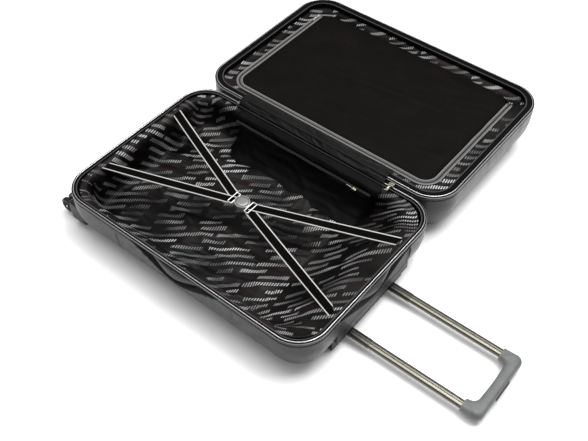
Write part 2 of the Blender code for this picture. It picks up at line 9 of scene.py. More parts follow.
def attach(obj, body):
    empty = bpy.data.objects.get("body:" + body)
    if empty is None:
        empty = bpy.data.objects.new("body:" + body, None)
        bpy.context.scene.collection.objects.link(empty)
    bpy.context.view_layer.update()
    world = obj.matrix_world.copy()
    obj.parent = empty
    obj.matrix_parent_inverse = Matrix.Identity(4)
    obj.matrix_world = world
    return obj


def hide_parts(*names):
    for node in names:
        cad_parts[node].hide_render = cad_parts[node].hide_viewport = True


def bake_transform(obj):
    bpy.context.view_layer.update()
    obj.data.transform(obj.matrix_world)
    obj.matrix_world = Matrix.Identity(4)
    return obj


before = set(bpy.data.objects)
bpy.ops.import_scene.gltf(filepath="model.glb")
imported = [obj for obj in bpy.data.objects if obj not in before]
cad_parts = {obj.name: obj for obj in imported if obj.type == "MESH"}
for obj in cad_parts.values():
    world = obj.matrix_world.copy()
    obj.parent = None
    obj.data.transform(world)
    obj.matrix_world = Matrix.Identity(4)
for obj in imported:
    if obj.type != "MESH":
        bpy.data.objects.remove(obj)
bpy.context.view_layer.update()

# Sizes shared with the CAD model, in metres
HALF_X, HALF_Y, CORNER = 0.354, 0.239, 0.074
BASE_DEPTH, LID_DEPTH, LID_Y = 0.130, 0.140, 0.480
EDGE_INSET, RIM_STRAIGHT = 0.068, 0.030
TUBE_Y, TUBE_Z = 0.0755, 0.025
BUCKLE_X, BUCKLE_Y, BAR_Z = -0.011, -0.002, 0.1156

# Openings of the carry handles: half length, lower edge at the ends and how far it bows down
OPENING_TOP = 0.1262
SIDE_OPENING = (0.1262, 0.1205, 0.0350)
TOP_OPENING = (0.1283, 0.1130, 0.0300)

PRINT_TURN = math.radians(37)


# Camera, floor and light


def link(obj):
    bpy.context.scene.collection.objects.link(obj)
    return obj


def aim(obj, direction):
    obj.rotation_mode = "QUATERNION"
    obj.rotation_quaternion = Vector(direction).to_track_quat("-Z", "Y")


def add_camera():
    data = bpy.data.cameras.new("camera")
    data.lens = 52.40
    data.sensor_width = 36.0
    camera = link(bpy.data.objects.new("camera", data))
    camera.location = (0.8878, -0.9333, 1.5279)
    azimuth, elevation = math.radians(38.865), math.radians(48.804)
    level = math.cos(elevation)
    aim(camera, (-math.sin(azimuth) * level, math.cos(azimuth) * level, -math.sin(elevation)))
    bpy.context.scene.camera = camera


def add_light(name, place, target, size, watts):
    data = bpy.data.lights.new(name, "AREA")
    data.shape = "RECTANGLE"
    data.size, data.size_y = size
    data.energy = watts
    light = link(bpy.data.objects.new(name, data))
    light.location = place
    aim(light, Vector(target) - Vector(place))


def add_studio():
    scene = bpy.context.scene
    scene.view_settings.view_transform = "Standard"
    scene.world = bpy.data.worlds.new("studio")
    scene.world.use_nodes = True
    background = scene.world.node_tree.nodes["Background"]
    background.inputs["Color"].default_value = (1.0, 1.0, 1.0, 1.0)
    background.inputs["Strength"].default_value = 0.52
    middle = (0.05, 0.25, 0.0)
    add_light("softbox_back", (0.80, 0.95, 2.9), middle, (2.0, 1.6), 108)
    add_light("softbox_top", (-0.35, 0.0, 3.0), middle, (2.2, 2.2), 66)
    floor = bpy.data.meshes.new("floor")
    floor.from_pydata([(-9, -9, 0), (9, -9, 0), (9, 9, 0), (-9, 9, 0)], [], [(0, 1, 2, 3)])
    plane = link(bpy.data.objects.new("floor", floor))
    plane.location.z = -0.0004
    look = Look("floor_paper", 0.9)
    look.colour((0.93, 0.93, 0.93))
    floor.materials.append(look.material)


# Materials


class Look:
    """A node material put together from short expressions."""

    def __init__(self, name, roughness=0.5, metallic=0.0, specular=0.5):
        self.material = bpy.data.materials.new(name)
        self.material.use_nodes = True
        self.tree = self.material.node_tree
        self.shader = self.tree.nodes["Principled BSDF"]
        self.shader.inputs["Roughness"].default_value = roughness
        self.shader.inputs["Metallic"].default_value = metallic
        self.shader.inputs["Specular IOR Level"].default_value = specular

    def put(self, socket, value):
        if isinstance(value, bpy.types.NodeSocket):
            self.tree.links.new(value, socket)
        elif isinstance(value, tuple) and socket.type == "RGBA":
            socket.default_value = (*value, 1.0)
        else:
            socket.default_value = value

    def feed(self, node, **values):
        for name, value in values.items():
            self.put(node.inputs[name], value)

    def node(self, kind, values=(), **settings):
        """New node with the given settings, its first inputs fed in order."""
        node = self.tree.nodes.new(kind)
        for key, value in settings.items():
            setattr(node, key, value)
        for socket, value in zip(node.inputs, values):
            self.put(socket, value)
        return node

    def math(self, operation, *values):
        return self.node("ShaderNodeMath", values, operation=operation).outputs[0]

    def plus(self, a, b):
        return self.math("ADD", a, b)

    def minus(self, a, b):
        return self.math("SUBTRACT", a, b)

    def times(self, a, b):
        return self.math("MULTIPLY", a, b)

    def between(self, value, low, high):
        """1 where the value lies between low and high, 0 elsewhere."""
        return self.times(self.math("GREATER_THAN", value, low), self.math("LESS_THAN", value, high))

    def cell(self, value):
        """Whole part and fraction of a value."""
        whole = self.math("FLOOR", value)
        return whole, self.minus(value, whole)

    def wave(self, value, pitch):
        return self.math("SINE", self.times(value, 2 * math.pi / pitch))

    def join(self, *values):
        return self.node("ShaderNodeCombineXYZ", values).outputs[0]

    def split(self, vector):
        return tuple(self.node("ShaderNodeSeparateXYZ", (vector,)).outputs)

    def place(self):
        """Position in the piece, in metres."""
        return self.node("ShaderNodeTexCoord").outputs["Object"]

    def flat(self):
        """Position on the piece's own cloth or strip, in metres."""
        return self.node("ShaderNodeAttribute", attribute_name="flat").outputs["Vector"]

    def noise(self, where, scale, detail=2.0, roughness=0.5):
        node = self.node("ShaderNodeTexNoise")
        self.feed(node, Vector=where, Scale=scale, Detail=detail, Roughness=roughness)
        return node.outputs[0]

    def chance(self, x, y, seed):
        """Random number from 0 to 1 for each whole x and y."""
        node = self.node("ShaderNodeTexWhiteNoise", noise_dimensions="3D")
        self.feed(node, Vector=self.join(x, y, seed))
        return node.outputs["Value"]

    def ramp(self, value, low, high, to_low=0.0, to_high=1.0):
        values = (value, low, high, to_low, to_high)
        return self.node("ShaderNodeMapRange", values, interpolation_type="SMOOTHSTEP").outputs[0]

    def mix(self, factor, a, b):
        node = self.node("ShaderNodeMix", (factor,), data_type="RGBA")
        self.put(node.inputs[6], a)
        self.put(node.inputs[7], b)
        return node.outputs[2]

    def colour(self, value):
        self.put(self.shader.inputs["Base Color"], value)

    def rough(self, value):
        self.put(self.shader.inputs["Roughness"], value)

    def bump(self, height, distance, strength):
        node = self.node("ShaderNodeBump")
        self.feed(node, Distance=distance, Strength=strength, Height=height)
        self.put(self.shader.inputs["Normal"], node.outputs[0])


def weave_height(look, x, y, pitch):
    """Plain weave: crossing threads, from about 0 to 1."""
    return look.math("MULTIPLY_ADD", look.times(look.wave(x, 2 * pitch), look.wave(y, 2 * pitch)), 0.5, 0.5)


def lining_look():
    """Black-brown cloth printed with slanting rows of hatched bars, with painted shade darkening its fold
    valleys.
    """
    look = Look("lining_cloth", 0.40, specular=0.09)
    where = look.flat()
    u, v, painted_fold_shade = look.split(where)
    c, s = math.cos(PRINT_TURN), math.sin(PRINT_TURN)
    along = look.plus(look.times(u, c), look.times(v, s))
    across = look.minus(look.times(v, c), look.times(u, s))
    pitch = 0.0195
    row, inside = look.cell(look.math("DIVIDE", across, pitch))
    slant = look.math("MULTIPLY_ADD", look.times(inside, pitch), -0.55, along)
    shifted = look.plus(slant, look.times(look.chance(0.0, row, 3.0), 5.0))
    cell, into = look.cell(look.math("DIVIDE", shifted, 0.105))
    length = look.math("MULTIPLY_ADD", look.chance(cell, row, 7.0), 0.70, 0.34)
    start = look.times(look.chance(cell, row, 11.0), look.minus(1.02, length))
    on = look.between(into, start, look.plus(start, length))
    tall = look.math("MULTIPLY_ADD", look.chance(cell, row, 13.0), 0.20, 0.34)
    band = look.between(inside, 0.14, look.plus(tall, 0.14))
    _, stroke = look.cell(look.math("DIVIDE", slant, 0.0058))
    line = look.math("LESS_THAN", stroke, 0.43)
    dense = look.math("GREATER_THAN", look.chance(cell, row, 17.0), 0.66)
    bright = look.times(line, look.minus(1.0, look.times(dense, 0.35)))
    filled = look.math("MAXIMUM", bright, look.times(dense, 0.20))
    lit = look.math("MULTIPLY_ADD", look.chance(cell, row, 19.0), 0.60, 0.36)
    worn = look.ramp(look.noise(where, 6.5), 0.36, 0.64, 0.25, 1.0)
    ink = look.times(look.times(look.times(on, band), look.times(filled, lit)), worn)
    cloud = look.ramp(look.noise(where, 9.0, 3.0), 0.35, 0.7)
    cloth = look.mix(cloud, (0.0006, 0.0005, 0.0005), (0.0090, 0.0066, 0.0060))
    printed = look.mix(ink, cloth, (0.50, 0.51, 0.515))
    # Painted shade: cloth and print fade towards black where the fold valleys lie
    look.colour(look.mix(look.ramp(painted_fold_shade, 0.0, 0.0074, 1.15, 0.24), (0.0, 0.0, 0.0), printed))
    look.rough(look.math("MULTIPLY_ADD", ink, 0.15, 0.40))
    look.bump(look.plus(weave_height(look, u, v, 0.0011), ink), 0.0003, 0.5)
    return look.material


def cloudy(look, where, scale, detail, low, colour, gain):
    """Colours the look with clouds of a colour and of a lighter tone of it."""
    tone = tuple(part * gain for part in colour)
    look.colour(look.mix(look.ramp(look.noise(where, scale, *detail), low, 0.75), colour, tone))


def satin_look(name, colour, gloss, specular):
    look = Look(name, gloss, specular=specular)
    where = look.flat()
    u, v, _ = look.split(where)
    cloudy(look, where, 14.0, (3.0,), 0.3, colour, 1.7)
    look.rough(look.ramp(look.noise(where, 60.0), 0.2, 0.8, gloss - 0.05, gloss + 0.08))
    creased = look.times(look.noise(where, 70.0, 3.0), 1.6)
    look.bump(look.plus(weave_height(look, u, v, 0.0008), creased), 0.0004, 0.5)
    return look.material


def shell_look():
    look = Look("shell_polycarbonate", 0.38, 0.25, 0.22)
    where = look.place()
    cloud = look.ramp(look.noise(where, 12.0, 3.0), 0.3, 0.7)
    base = look.mix(cloud, (0.0120, 0.0122, 0.0128), (0.0175, 0.0178, 0.0186))
    flecks = look.ramp(look.noise(where, 1500.0, 2.0, 0.7), 0.45, 0.75, 0.0, 0.45)
    look.colour(look.mix(flecks, base, (0.035, 0.035, 0.037)))
    look.rough(look.ramp(look.noise(where, 38.0, 5.0, 0.65), 0.45, 0.75, 0.34, 0.50))
    look.bump(look.noise(where, 900.0, 3.0, 0.6), 0.0005, 0.35)
    look.shader.inputs["Coat Weight"].default_value = 0.10
    look.shader.inputs["Coat Roughness"].default_value = 0.25
    return look.material


def plastic_look(name, colour, roughness, grain_scale=1300.0, grain=0.35):
    look = Look(name, roughness, specular=0.20)
    where = look.place()
    cloudy(look, where, 26.0, (4.0, 0.6), 0.3, colour, 1.28)
    look.rough(look.ramp(look.noise(where, 55.0, 5.0, 0.7), 0.35, 0.75, roughness - 0.05, roughness + 0.09))
    look.bump(look.noise(where, grain_scale), 0.0004, grain)
    return look.material


def metal_look(name, colour, roughness, brushed=False):
    """Metal with fine wear, drawn out along x where it is brushed."""
    look = Look(name, roughness, 1.0)
    where = look.place()
    x, y, z = look.split(where)
    lines = look.noise(look.join(look.times(x, 0.02), y, z) if brushed else where, 2600.0, 2.0, 0.6)
    tone = tuple(part * 0.72 for part in colour)
    look.colour(look.mix(look.ramp(look.noise(where, 70.0, 4.0, 0.7), 0.55, 0.8, 0.0, 0.6), colour, tone))
    look.rough(look.ramp(lines, 0.3, 0.7, roughness - 0.06, roughness + 0.10))
    look.bump(lines, 0.00015, 0.3)
    return look.material


def webbing_look():
    """Dark ribbed webbing with a pale woven stripe along each edge."""
    look = Look("strap_webbing", 0.65, specular=0.022)
    along, across, _ = look.split(look.flat())
    edge = look.math("ABSOLUTE", across)
    stripe = look.times(look.ramp(edge, 0.0088, 0.0091), look.ramp(edge, 0.0117, 0.0113))
    height = look.plus(look.times(look.wave(along, 0.0016), 0.5), look.times(look.wave(across, 0.0011), 0.25))
    shade = look.ramp(height, -0.7, 0.7)
    dark = look.mix(shade, (0.0007, 0.0006, 0.0004), (0.0024, 0.0019, 0.0012))
    pale = look.mix(shade, (0.30, 0.30, 0.29), (0.52, 0.52, 0.51))
    look.colour(look.mix(stripe, dark, pale))
    look.bump(height, 0.0004, 0.6)
    return look.material


def tape_look(name, colour, pale):
    """Woven zip tape with a herringbone rib, whose crests take the lighter colour as a painted highlight."""
    look = Look(name, 0.75, specular=0.05)
    along, across, _ = look.split(look.flat())
    bend = look.math("ABSOLUTE", look.minus(look.math("FRACT", look.math("DIVIDE", across, 0.0036)), 0.5))
    rib = look.wave(look.plus(along, look.times(bend, 0.003)), 0.0014)
    # Painted highlight: the rib's crests are coloured lighter than its troughs
    look.colour(look.mix(look.ramp(rib, -0.8, 0.8), colour, pale))
    look.bump(rib, 0.0003, 0.5)
    return look.material


# What each look is made from: material name, colour and the recipe's other settings
SATINS = {
    "satin": ("pocket_satin", (0.00056, 0.00056, 0.00063), 0.42, 0.06),
    "gusset": ("gusset_satin", (0.0016, 0.0013, 0.0012), 0.36, 0.11),
    "panel": ("divider_cloth", (0.00170, 0.00120, 0.00098), 0.44, 0.042),
}
PLASTICS = {
    # The lip colour is a painted highlight along the shell's top edge
    "lip": ("shell_lip", (0.15, 0.15, 0.155), 0.35),
    "black": ("black_plastic", (0.0036, 0.0036, 0.00378), 0.42),
    "grey": ("grey_plastic", (0.024, 0.0243, 0.0250), 0.42),
    "grip": ("grip_plastic", (0.092, 0.0935, 0.0935), 0.38),
    "rubber": ("wheel_tyre", (0.0048, 0.0048, 0.0051), 0.50, 700.0, 0.6),
    "hub": ("wheel_hub", (0.021, 0.021, 0.0222), 0.36),
    "coil": ("zip_teeth_grey", (0.04675, 0.04675, 0.04675), 0.4),
    "black_teeth": ("zip_teeth_black", (0.008, 0.008, 0.008), 0.35),
    # Dark colour for painted shade in the tube grooves and on the tube shoulders
    "groove": ("tube_groove", (0.0072, 0.0072, 0.0066), 0.5),
    "collar": ("collar_plastic", (0.1488, 0.1488, 0.1457), 0.36),
    "housing": ("housing_plastic", (0.013, 0.0133, 0.0140), 0.42),
    "pale_piping": ("pale_piping", (0.1488, 0.1476, 0.1426), 0.40),
}
METALS = {
    "silver": ("silver_metal", (0.2914, 0.2914, 0.2821), 0.30),
    "satin_silver": ("satin_silver_metal", (0.21, 0.21, 0.203), 0.46),
    "bright_wire": ("bright_wire_metal", (0.72, 0.72, 0.70), 0.34),
    "piping": ("silver_piping", (0.50, 0.50, 0.50), 0.30),
    "brass": ("brass_metal", (0.340, 0.318, 0.250), 0.30),
    "pale_brass": ("pale_brass_metal", (0.615, 0.6, 0.495), 0.24),
    "champagne": ("champagne_aluminium", (0.128, 0.122, 0.101), 0.30, True),
    # A darker copy of the champagne aluminium, as painted shade of the shell over the tubes by the housing
    "dark_aluminium": ("dark_aluminium", (0.080, 0.077, 0.065), 0.32, True),
}
TAPES = {
    "tape": ("zip_tape_black", (0.00088, 0.00088, 0.00088), (0.0024, 0.0024, 0.0024)),
    "grey_tape": ("zip_tape_grey", (0.068, 0.067, 0.066), (0.120, 0.118, 0.115)),
    "pocket_tape": ("pocket_zip_tape", (0.0096, 0.0096, 0.0096), (0.033, 0.033, 0.033)),
}
LOOKS = {}


def make_looks():
    LOOKS.update(lining=lining_look(), shell=shell_look(), webbing=webbing_look())
    tables = {satin_look: SATINS, plastic_look: PLASTICS, metal_look: METALS, tape_look: TAPES}
    for recipe, table in tables.items():
        LOOKS.update((name, recipe(*settings)) for name, settings in table.items())


# Mesh helpers


def add_piece(name, verts, faces, look, flat=None, smooth=True):
    """New mesh object, with cloth coordinates where they are given."""
    mesh = bpy.data.meshes.new(name)
    mesh.from_pydata([tuple(map(float, v)) for v in verts], [], [tuple(map(int, f)) for f in faces])
    mesh.materials.append(LOOKS[look])
    if smooth:
        mesh.shade_smooth()
    if flat is not None:
        data = np.zeros((len(verts), 3), np.float32)
        data[:, :2] = flat
        mesh.attributes.new("flat", "FLOAT_VECTOR", "POINT").data.foreach_set("vector", data.ravel())
    return link(bpy.data.objects.new(name, mesh))


def stand_for(obj, body, *nodes):
    """The piece rides on a body and takes the place of CAD nodes."""
    if nodes:
        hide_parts(*nodes)
    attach(obj, body)


def with_bmesh(obj, change):
    """Makes a change to an object's mesh through bmesh."""
    bm = bmesh.new()
    bm.from_mesh(obj.data)
    change(bm)
    bm.to_mesh(obj.data)
    bm.free()
    return obj


def tidy_normals(obj):
    return with_bmesh(obj, lambda bm: bmesh.ops.recalc_face_normals(bm, faces=bm.faces))


def smooth_by_angle(obj, degrees):
    """Smooth shading, but for the edges that turn by more than the angle."""
    obj.data.shade_smooth()

    def mark(bm):
        for edge in bm.edges:
            edge.smooth = not (len(edge.link_faces) == 2 and edge.calc_face_angle(0) > math.radians(degrees))

    return with_bmesh(obj, mark)


def settle(obj):
    """Applies an object's modifiers to its mesh."""
    bpy.context.view_layer.update()
    evaluated = obj.evaluated_get(bpy.context.evaluated_depsgraph_get())
    mesh = bpy.data.meshes.new_from_object(evaluated)
    obj.modifiers.clear()
    obj.data = mesh
    return obj


def add_skin(obj, thickness, offset=-1):
    """Gives a surface its thickness."""
    mod = obj.modifiers.new("thickness", "SOLIDIFY")
    mod.thickness = thickness
    mod.offset = offset
    return settle(obj)


def bevelled(obj, width, segments):
    mod = obj.modifiers.new("edges", "BEVEL")
    mod.width = width
    mod.segments = segments
    mod.limit_method = "ANGLE"
    mod.angle_limit = math.radians(35)
    mod.harden_normals = False
    return obj


def cut(obj, tool):
    """Takes the tool's solid out of an object, and the tool away."""
    mod = obj.modifiers.new("cut", "BOOLEAN")
    mod.operation = "DIFFERENCE"
    mod.solver = "EXACT"
    mod.object = tool
    settle(obj)
    bpy.data.objects.remove(tool, do_unlink=True)


def grid_faces(rows, columns, wrap_rows=False, wrap_columns=False, first=0, flip=False):
    """Quads over a grid of vertices stored row by row."""
    i = np.arange(rows if wrap_rows else rows - 1)
    j = np.arange(columns if wrap_columns else columns - 1)
    i, j = (part.ravel() for part in np.meshgrid(i, j, indexing="ij"))
    i2, j2 = (i + 1) % rows, (j + 1) % columns
    quads = np.stack([i * columns + j, i * columns + j2, i2 * columns + j2, i2 * columns + j], 1) + first
    return [tuple(quad) for quad in (quads[:, ::-1] if flip else quads)]


def tube_faces(rows, columns, first=0):
    """Faces of a row of rings, closed at both ends."""
    last = first + (rows - 1) * columns
    caps = [tuple(range(first, first + columns)), tuple(range(last + columns - 1, last - 1, -1))]
    return grid_faces(rows, columns, False, True, first) + caps


def add_tube(name, rings, look, flat=None, smooth=True):
    """Closed piece through a row of rings of points."""
    rings = np.array(rings, float)
    verts = rings.reshape(-1, 3)
    return tidy_normals(add_piece(name, verts, tube_faces(*rings.shape[:2]), look, flat, smooth))


def add_box(name, low, high, look, bevel):
    (x1, y1, z1), (x2, y2, z2) = low, high
    rings = [[(x, y1, z1), (x, y1, z2), (x, y2, z2), (x, y2, z1)] for x in (x1, x2)]
    return bevelled(add_tube(name, rings, look, smooth=False), bevel, 3)


def lathe(name, profile, centre, axis, look, sides=48):
    """Turns a section of (radius, height) points about an axis through the centre."""
    verts = []
    for angle in np.arange(sides) * 2 * math.pi / sides:
        for radius, height in profile:
            a, b = radius * math.cos(angle), radius * math.sin(angle)
            spot = {"Z": (a, b, height), "Y": (a, height, b), "X": (height, a, b)}[axis]
            verts.append(np.add(centre, spot))
    count = len(profile)
    ends = [tuple(range(end, sides * count, count)) for end in (0, count - 1)]
    obj = add_piece(name, verts, grid_faces(sides, count, True) + ends, look, smooth=False)
    return smooth_by_angle(tidy_normals(obj), 40)


def smooth(t):
    t = np.clip(t, 0, 1)
    return t * t * (3 - 2 * t)


def lattice(ix, iy, seed):
    value = np.sin(ix * 127.1 + iy * 311.7 + seed * 74.7) * 43758.5453
    return value - np.floor(value)


def ripple(x, y, seed=0):
    """Smooth noise from -1 to 1, one bump to each unit of x and y."""
    ix, iy = np.floor(x), np.floor(y)
    fx, fy = smooth(x - ix), smooth(y - iy)
    low = lattice(ix, iy, seed) * (1 - fx) + lattice(ix + 1, iy, seed) * fx
    high = lattice(ix, iy + 1, seed) * (1 - fx) + lattice(ix + 1, iy + 1, seed) * fx
    return 2 * (low * (1 - fy) + high * fy) - 1


def creases(x, y, seed=0):
    """Ridged noise from 0 to 1: soft valleys with narrow folds between them."""
    total = 0.0
    for octave, size in enumerate((1.0, 2.0, 4.0)):
        ridge = 1 - np.abs(ripple(x * size + 5.3 * octave, y * size - 3.1 * octave, seed + octave))
        total += ridge**2 / size
    return total / 1.75


# Paths and sweeps


def distances(points):
    """How far each point lies along its line."""
    return np.concatenate([[0.0], np.cumsum(np.linalg.norm(np.diff(points, axis=0), axis=1))])


def arc(x, y, radius, start, end, count):
    """Points round an arc about (x, y) from one angle to another, in quarter turns."""
    turns = [math.pi / 2 * (start + (end - start) * k / count) for k in range(count + 1)]
    return [(x + radius * math.cos(turn), y + radius * math.sin(turn)) for turn in turns]


def sampled(points, marks):
    """Points at the marks, in metres along a line."""
    run = distances(points)
    return np.stack([np.interp(marks, run, points[:, k]) for k in range(points.shape[1])], 1)


def even_path(points, step):
    """Resamples a line at even steps; returns points, directions ahead and distances."""
    points = np.array(points, float)
    length = distances(points)[-1]
    marks = np.linspace(0, length, max(2, round(length / step)) + 1)
    even = sampled(points, marks)
    ahead = np.gradient(even, axis=0)
    return even, ahead / np.linalg.norm(ahead, axis=1)[:, None], marks


def resample_closed(points, count):
    points = np.vstack([points, points[:1]])
    return sampled(points, np.linspace(0, distances(points)[-1], count + 1)[:-1])


def outline(half_x, half_y, radius, centre=(0.0, 0.0), step=0.006):
    """Points round a rounded rectangle, anticlockwise, with outward directions and distances along it."""
    points, outs = [], []
    straight_x, straight_y = 2 * (half_x - radius), 2 * (half_y - radius)
    sides = (
        ((half_x, -half_y + radius), (0, 1), straight_y),
        ((half_x - radius, half_y), (-1, 0), straight_x),
        ((-half_x, half_y - radius), (0, -1), straight_y),
        ((-half_x + radius, -half_y), (1, 0), straight_x),
    )
    for quarter, (start, way, length) in enumerate(sides):
        out = arc(0, 0, 1, quarter, quarter + 1, 1)[0]
        count = max(1, round(length / step))
        runs = [length * k / count for k in range(count)]
        points += [(start[0] + way[0] * run, start[1] + way[1] * run) for run in runs]
        outs += [out] * count
        hub = [start[k] + way[k] * length - out[k] * radius for k in (0, 1)]
        count = max(6, round(radius * math.pi / 2 / step))
        outs += arc(0, 0, 1, quarter, quarter + 1, count)[:-1]
        points += arc(*hub, radius, quarter, quarter + 1, count)[:-1]
    points = np.array(points) + np.array(centre)
    return points, np.array(outs), distances(points)


def split_outline(half_x, half_y, radius, nx, ny):
    """Rounded rectangle with ny, nx, ny and nx points on the sides between the middles of its corners."""
    dense, outs, _ = outline(half_x, half_y, radius, step=0.0008)
    angle = np.degrees(np.arctan2(outs[:, 1], outs[:, 0])) % 360
    marks = [int(np.argmin(np.abs(angle - a))) for a in (315, 45, 135, 225)]
    points, normals = [], []
    for a, b, count in zip(marks, marks[1:] + marks[:1], (ny, nx, ny, nx)):
        pick = np.arange(a, b + 1 if b > a else b + 1 + len(dense)) % len(dense)
        run = distances(dense[pick])
        at = np.linspace(0, run[-1], count + 1)[:-1]
        points.append(sampled(dense[pick], at))
        normals.append(np.stack([np.interp(at, run, outs[pick, k]) for k in (0, 1)], 1))
    normals = np.concatenate(normals)
    return np.concatenate(points), normals / np.linalg.norm(normals, axis=1)[:, None]


def coons(edge, nx, ny):
    """Grid of points filling an outline whose sides are ny, nx, ny and nx steps long."""
    right = edge[0 : ny + 1]
    top = edge[ny : ny + nx + 1][::-1]
    left = edge[ny + nx : 2 * ny + nx + 1][::-1]
    bottom = np.concatenate([edge[2 * ny + nx :], edge[:1]])
    s = np.linspace(0, 1, nx + 1)[None, :, None]
    t = np.linspace(0, 1, ny + 1)[:, None, None]
    patch = (1 - t) * bottom[None] + t * top[None] + (1 - s) * left[:, None] + s * right[:, None]
    low, high = (1 - s) * bottom[0] + s * bottom[-1], (1 - s) * top[0] + s * top[-1]
    return patch - (1 - t) * low - t * high


def swept(points, outs, section):
    """Rings of a section of (outward, z) points carried along a path."""
    xy = points[:, None, :] + outs[:, None, :] * section[None, :, :1]
    return np.concatenate([xy, np.broadcast_to(section[None, :, 1:], (*xy.shape[:2], 1))], 2)


def along_and_across(distance, across):
    """Cloth coordinates of a swept strip."""
    return np.stack([np.repeat(distance, len(across)), np.tile(across, len(distance))], 1)


def sweep_ring(name, path, section, look):
    """Sweeps a section of (inset, z) points round a closed outline."""
    points, outs, distance = path
    section = np.array(section, float)
    faces = grid_faces(len(points), len(section), True, True)
    flat = along_and_across(distance, distances(section))
    return tidy_normals(add_piece(name, swept(points, -outs, section).reshape(-1, 3), faces, look, flat))


def sweep_open(name, points, outs, section, look):
    """Sweeps a section of (outward, z) points along an open path, with capped ends."""
    section = np.array(section, float)
    flat = along_and_across(distances(points), section[:, 0])
    return add_tube(name, swept(points, outs, section), look, flat)


def add_wire(name, points, radius, look, sides=8, closed=False):
    """Round wire along a path."""
    points = np.array(points, float)
    ahead = np.roll(points, -1, 0) - np.roll(points, 1, 0)
    if not closed:
        ahead[0], ahead[-1] = points[1] - points[0], points[-1] - points[-2]
    ahead /= np.linalg.norm(ahead, axis=1)[:, None]
    side = np.cross(ahead, (0.0, 0.0, 1.0))
    side /= np.linalg.norm(side, axis=1)[:, None]
    top = np.cross(side, ahead)
    angle = (np.arange(sides) * 2 * math.pi / sides)[None, :, None]
    rings = points[:, None] + radius * (side[:, None] * np.cos(angle) + top[:, None] * np.sin(angle))
    if not closed:
        return add_tube(name, rings, look)
    faces = grid_faces(len(points), sides, True, True)
    return tidy_normals(add_piece(name, rings.reshape(-1, 3), faces, look))


def add_teeth(name, points, outs, section, size, look, z):
    """Rounded teeth along a path. Their size is half a length, the shoulder's place and the ends' scale."""
    half, shoulder, shrink = size
    verts, faces = [], []
    for point, out in zip(points, outs):
        way = np.array((-out[1], out[0]))
        faces += tube_faces(4, len(section), len(verts))
        for end, grow in ((-half, shrink), (-shoulder, 1.0), (shoulder, 1.0), (half, shrink)):
            for across, high in section:
                verts.append((*(point + out * across * grow + way * end), z + high * grow))
    return tidy_normals(add_piece(name, verts, faces, look))


def add_cloth(name, x, y, z, u, v, look, thickness, flip=False):
    """Cloth over a grid of points, given a thickness behind it."""
    flat = np.stack([u, v], 2).reshape(-1, 2)
    verts = np.stack(np.broadcast_arrays(x, y, z), 2).reshape(-1, 3)
    cloth = add_piece(name, verts, grid_faces(*u.shape, flip=flip), look, flat)
    return tidy_normals(add_skin(cloth, thickness))


# Shell halves


def shell_profile(depth, wall):
    """Outside of a half from the flat bottom up, over the lip and down the inside, as (inset, z)."""
    drop = depth - RIM_STRAIGHT
    turns = [math.pi / 2 * k / 22 for k in range(22, -1, -1)]
    outer = [(EDGE_INSET * (1 - math.cos(turn)), drop - drop * math.sin(turn)) for turn in turns]
    band = (
        (0.0, 0.0200), (0.0, 0.0130), (0.0, 0.0092), (0.0009, 0.0086), (0.0011, 0.0078), (0.0004, 0.0070),
        (0.0, 0.0062), (0.0, 0.0014), (0.0003, 0.0005), (0.0009, 0.0), (0.0022, 0.0), (0.0028, 0.0006),
        (wall, 0.0020), (wall, RIM_STRAIGHT),
    )
    turns = [math.pi / 2 * k / 10 for k in range(1, 11)]
    reach = EDGE_INSET - wall
    inner = [(wall + reach * (1 - math.cos(turn)), drop - (drop - wall) * math.sin(turn)) for turn in turns]
    return np.array(outer + [(inset, depth - below) for inset, below in band] + inner)


def groove(x, middle, half, depth, height, end, fade):
    """Rounded channel that ends below the rim: how far the surface goes in."""
    return depth * smooth(1 - np.abs(x - middle) / half) * smooth((end - height) / fade)


def add_shell(name, centre_y, depth, body):
    points, outs, _ = outline(HALF_X, HALF_Y, CORNER, (0.0, centre_y), 0.0035)
    section = shell_profile(depth, 0.003)
    rows, columns = len(points), len(section)
    x, height = points[:, :1], section[None, :, 1] / depth
    inward = np.maximum.reduce([
        groove(x, -0.292 - 0.020 * height**2, 0.0080, 0.0036, height, 0.88, 0.1),
        groove(x, -0.170 + 0.004 * height, 0.0045, 0.0030, height, 0.90, 0.06),
        groove(x, 0.172 - 0.004 * height, 0.0045, 0.0020, height, 0.90, 0.06),
    ])
    outside = np.arange(columns)[None] < 26
    on_side = np.abs(outs[:, 1:]) > 0.99
    inward = np.where(outside & on_side, inward * smooth(height / 0.25), 0.0)
    verts = swept(points, -outs, section)
    verts[..., :2] -= outs[:, None] * inward[..., None]
    faces = grid_faces(rows, columns, True)
    faces += [tuple(range(end, rows * columns, columns)) for end in (0, columns - 1)]
    shell = tidy_normals(add_piece(name, verts.reshape(-1, 3), faces, "shell"))
    shell.data.materials.append(LOOKS["lip"])
    shell.data.materials.append(LOOKS["black"])
    # Top band of the rim: outward faces take the lip's painted highlight, the faces on top and inside are
    # black
    for face in shell.data.polygons:
        if face.center.z > depth - 0.0012:
            outward = face.normal.x * face.center.x + face.normal.y * (face.center.y - centre_y)
            face.material_index = 1 if outward > 0.02 and face.normal.z < 0.9 else 2
    stand_for(shell, body, body + "_shell")
    return shell


def bowed(half, low, sag, top=OPENING_TOP, count=40):
    """Outline of a recess: straight along its top, bowed along its bottom, as (along, z)."""
    points = [(half * (1 - 2 * k / count), top) for k in range(count + 1)]
    for t in (-1 + 2 * k / count for k in range(1, count)):
        points.append((half * t, low - sag * smooth(1 - abs(t)) - 0.35 * sag * (1 - t * t)))
    return points


def facing(place, axis, along, z, offset=0.0):
    """Point on a wall that faces along the axis, in metres along the wall and through it."""
    if axis == "X":
        return place[0] + offset, place[1] + along, z
    return place[0] + along, place[1] + offset, z


def cut_window(shell, points, place, reach, axis):
    """Cuts an outline of (along, z) points through a shell wall that faces along the axis."""
    rings = [[facing(place, axis, along, z, offset) for along, z in points] for offset in (-reach, reach)]
    window = add_tube("window", rings, "black", smooth=False)
    window.data.materials.clear()
    cut(shell, window)


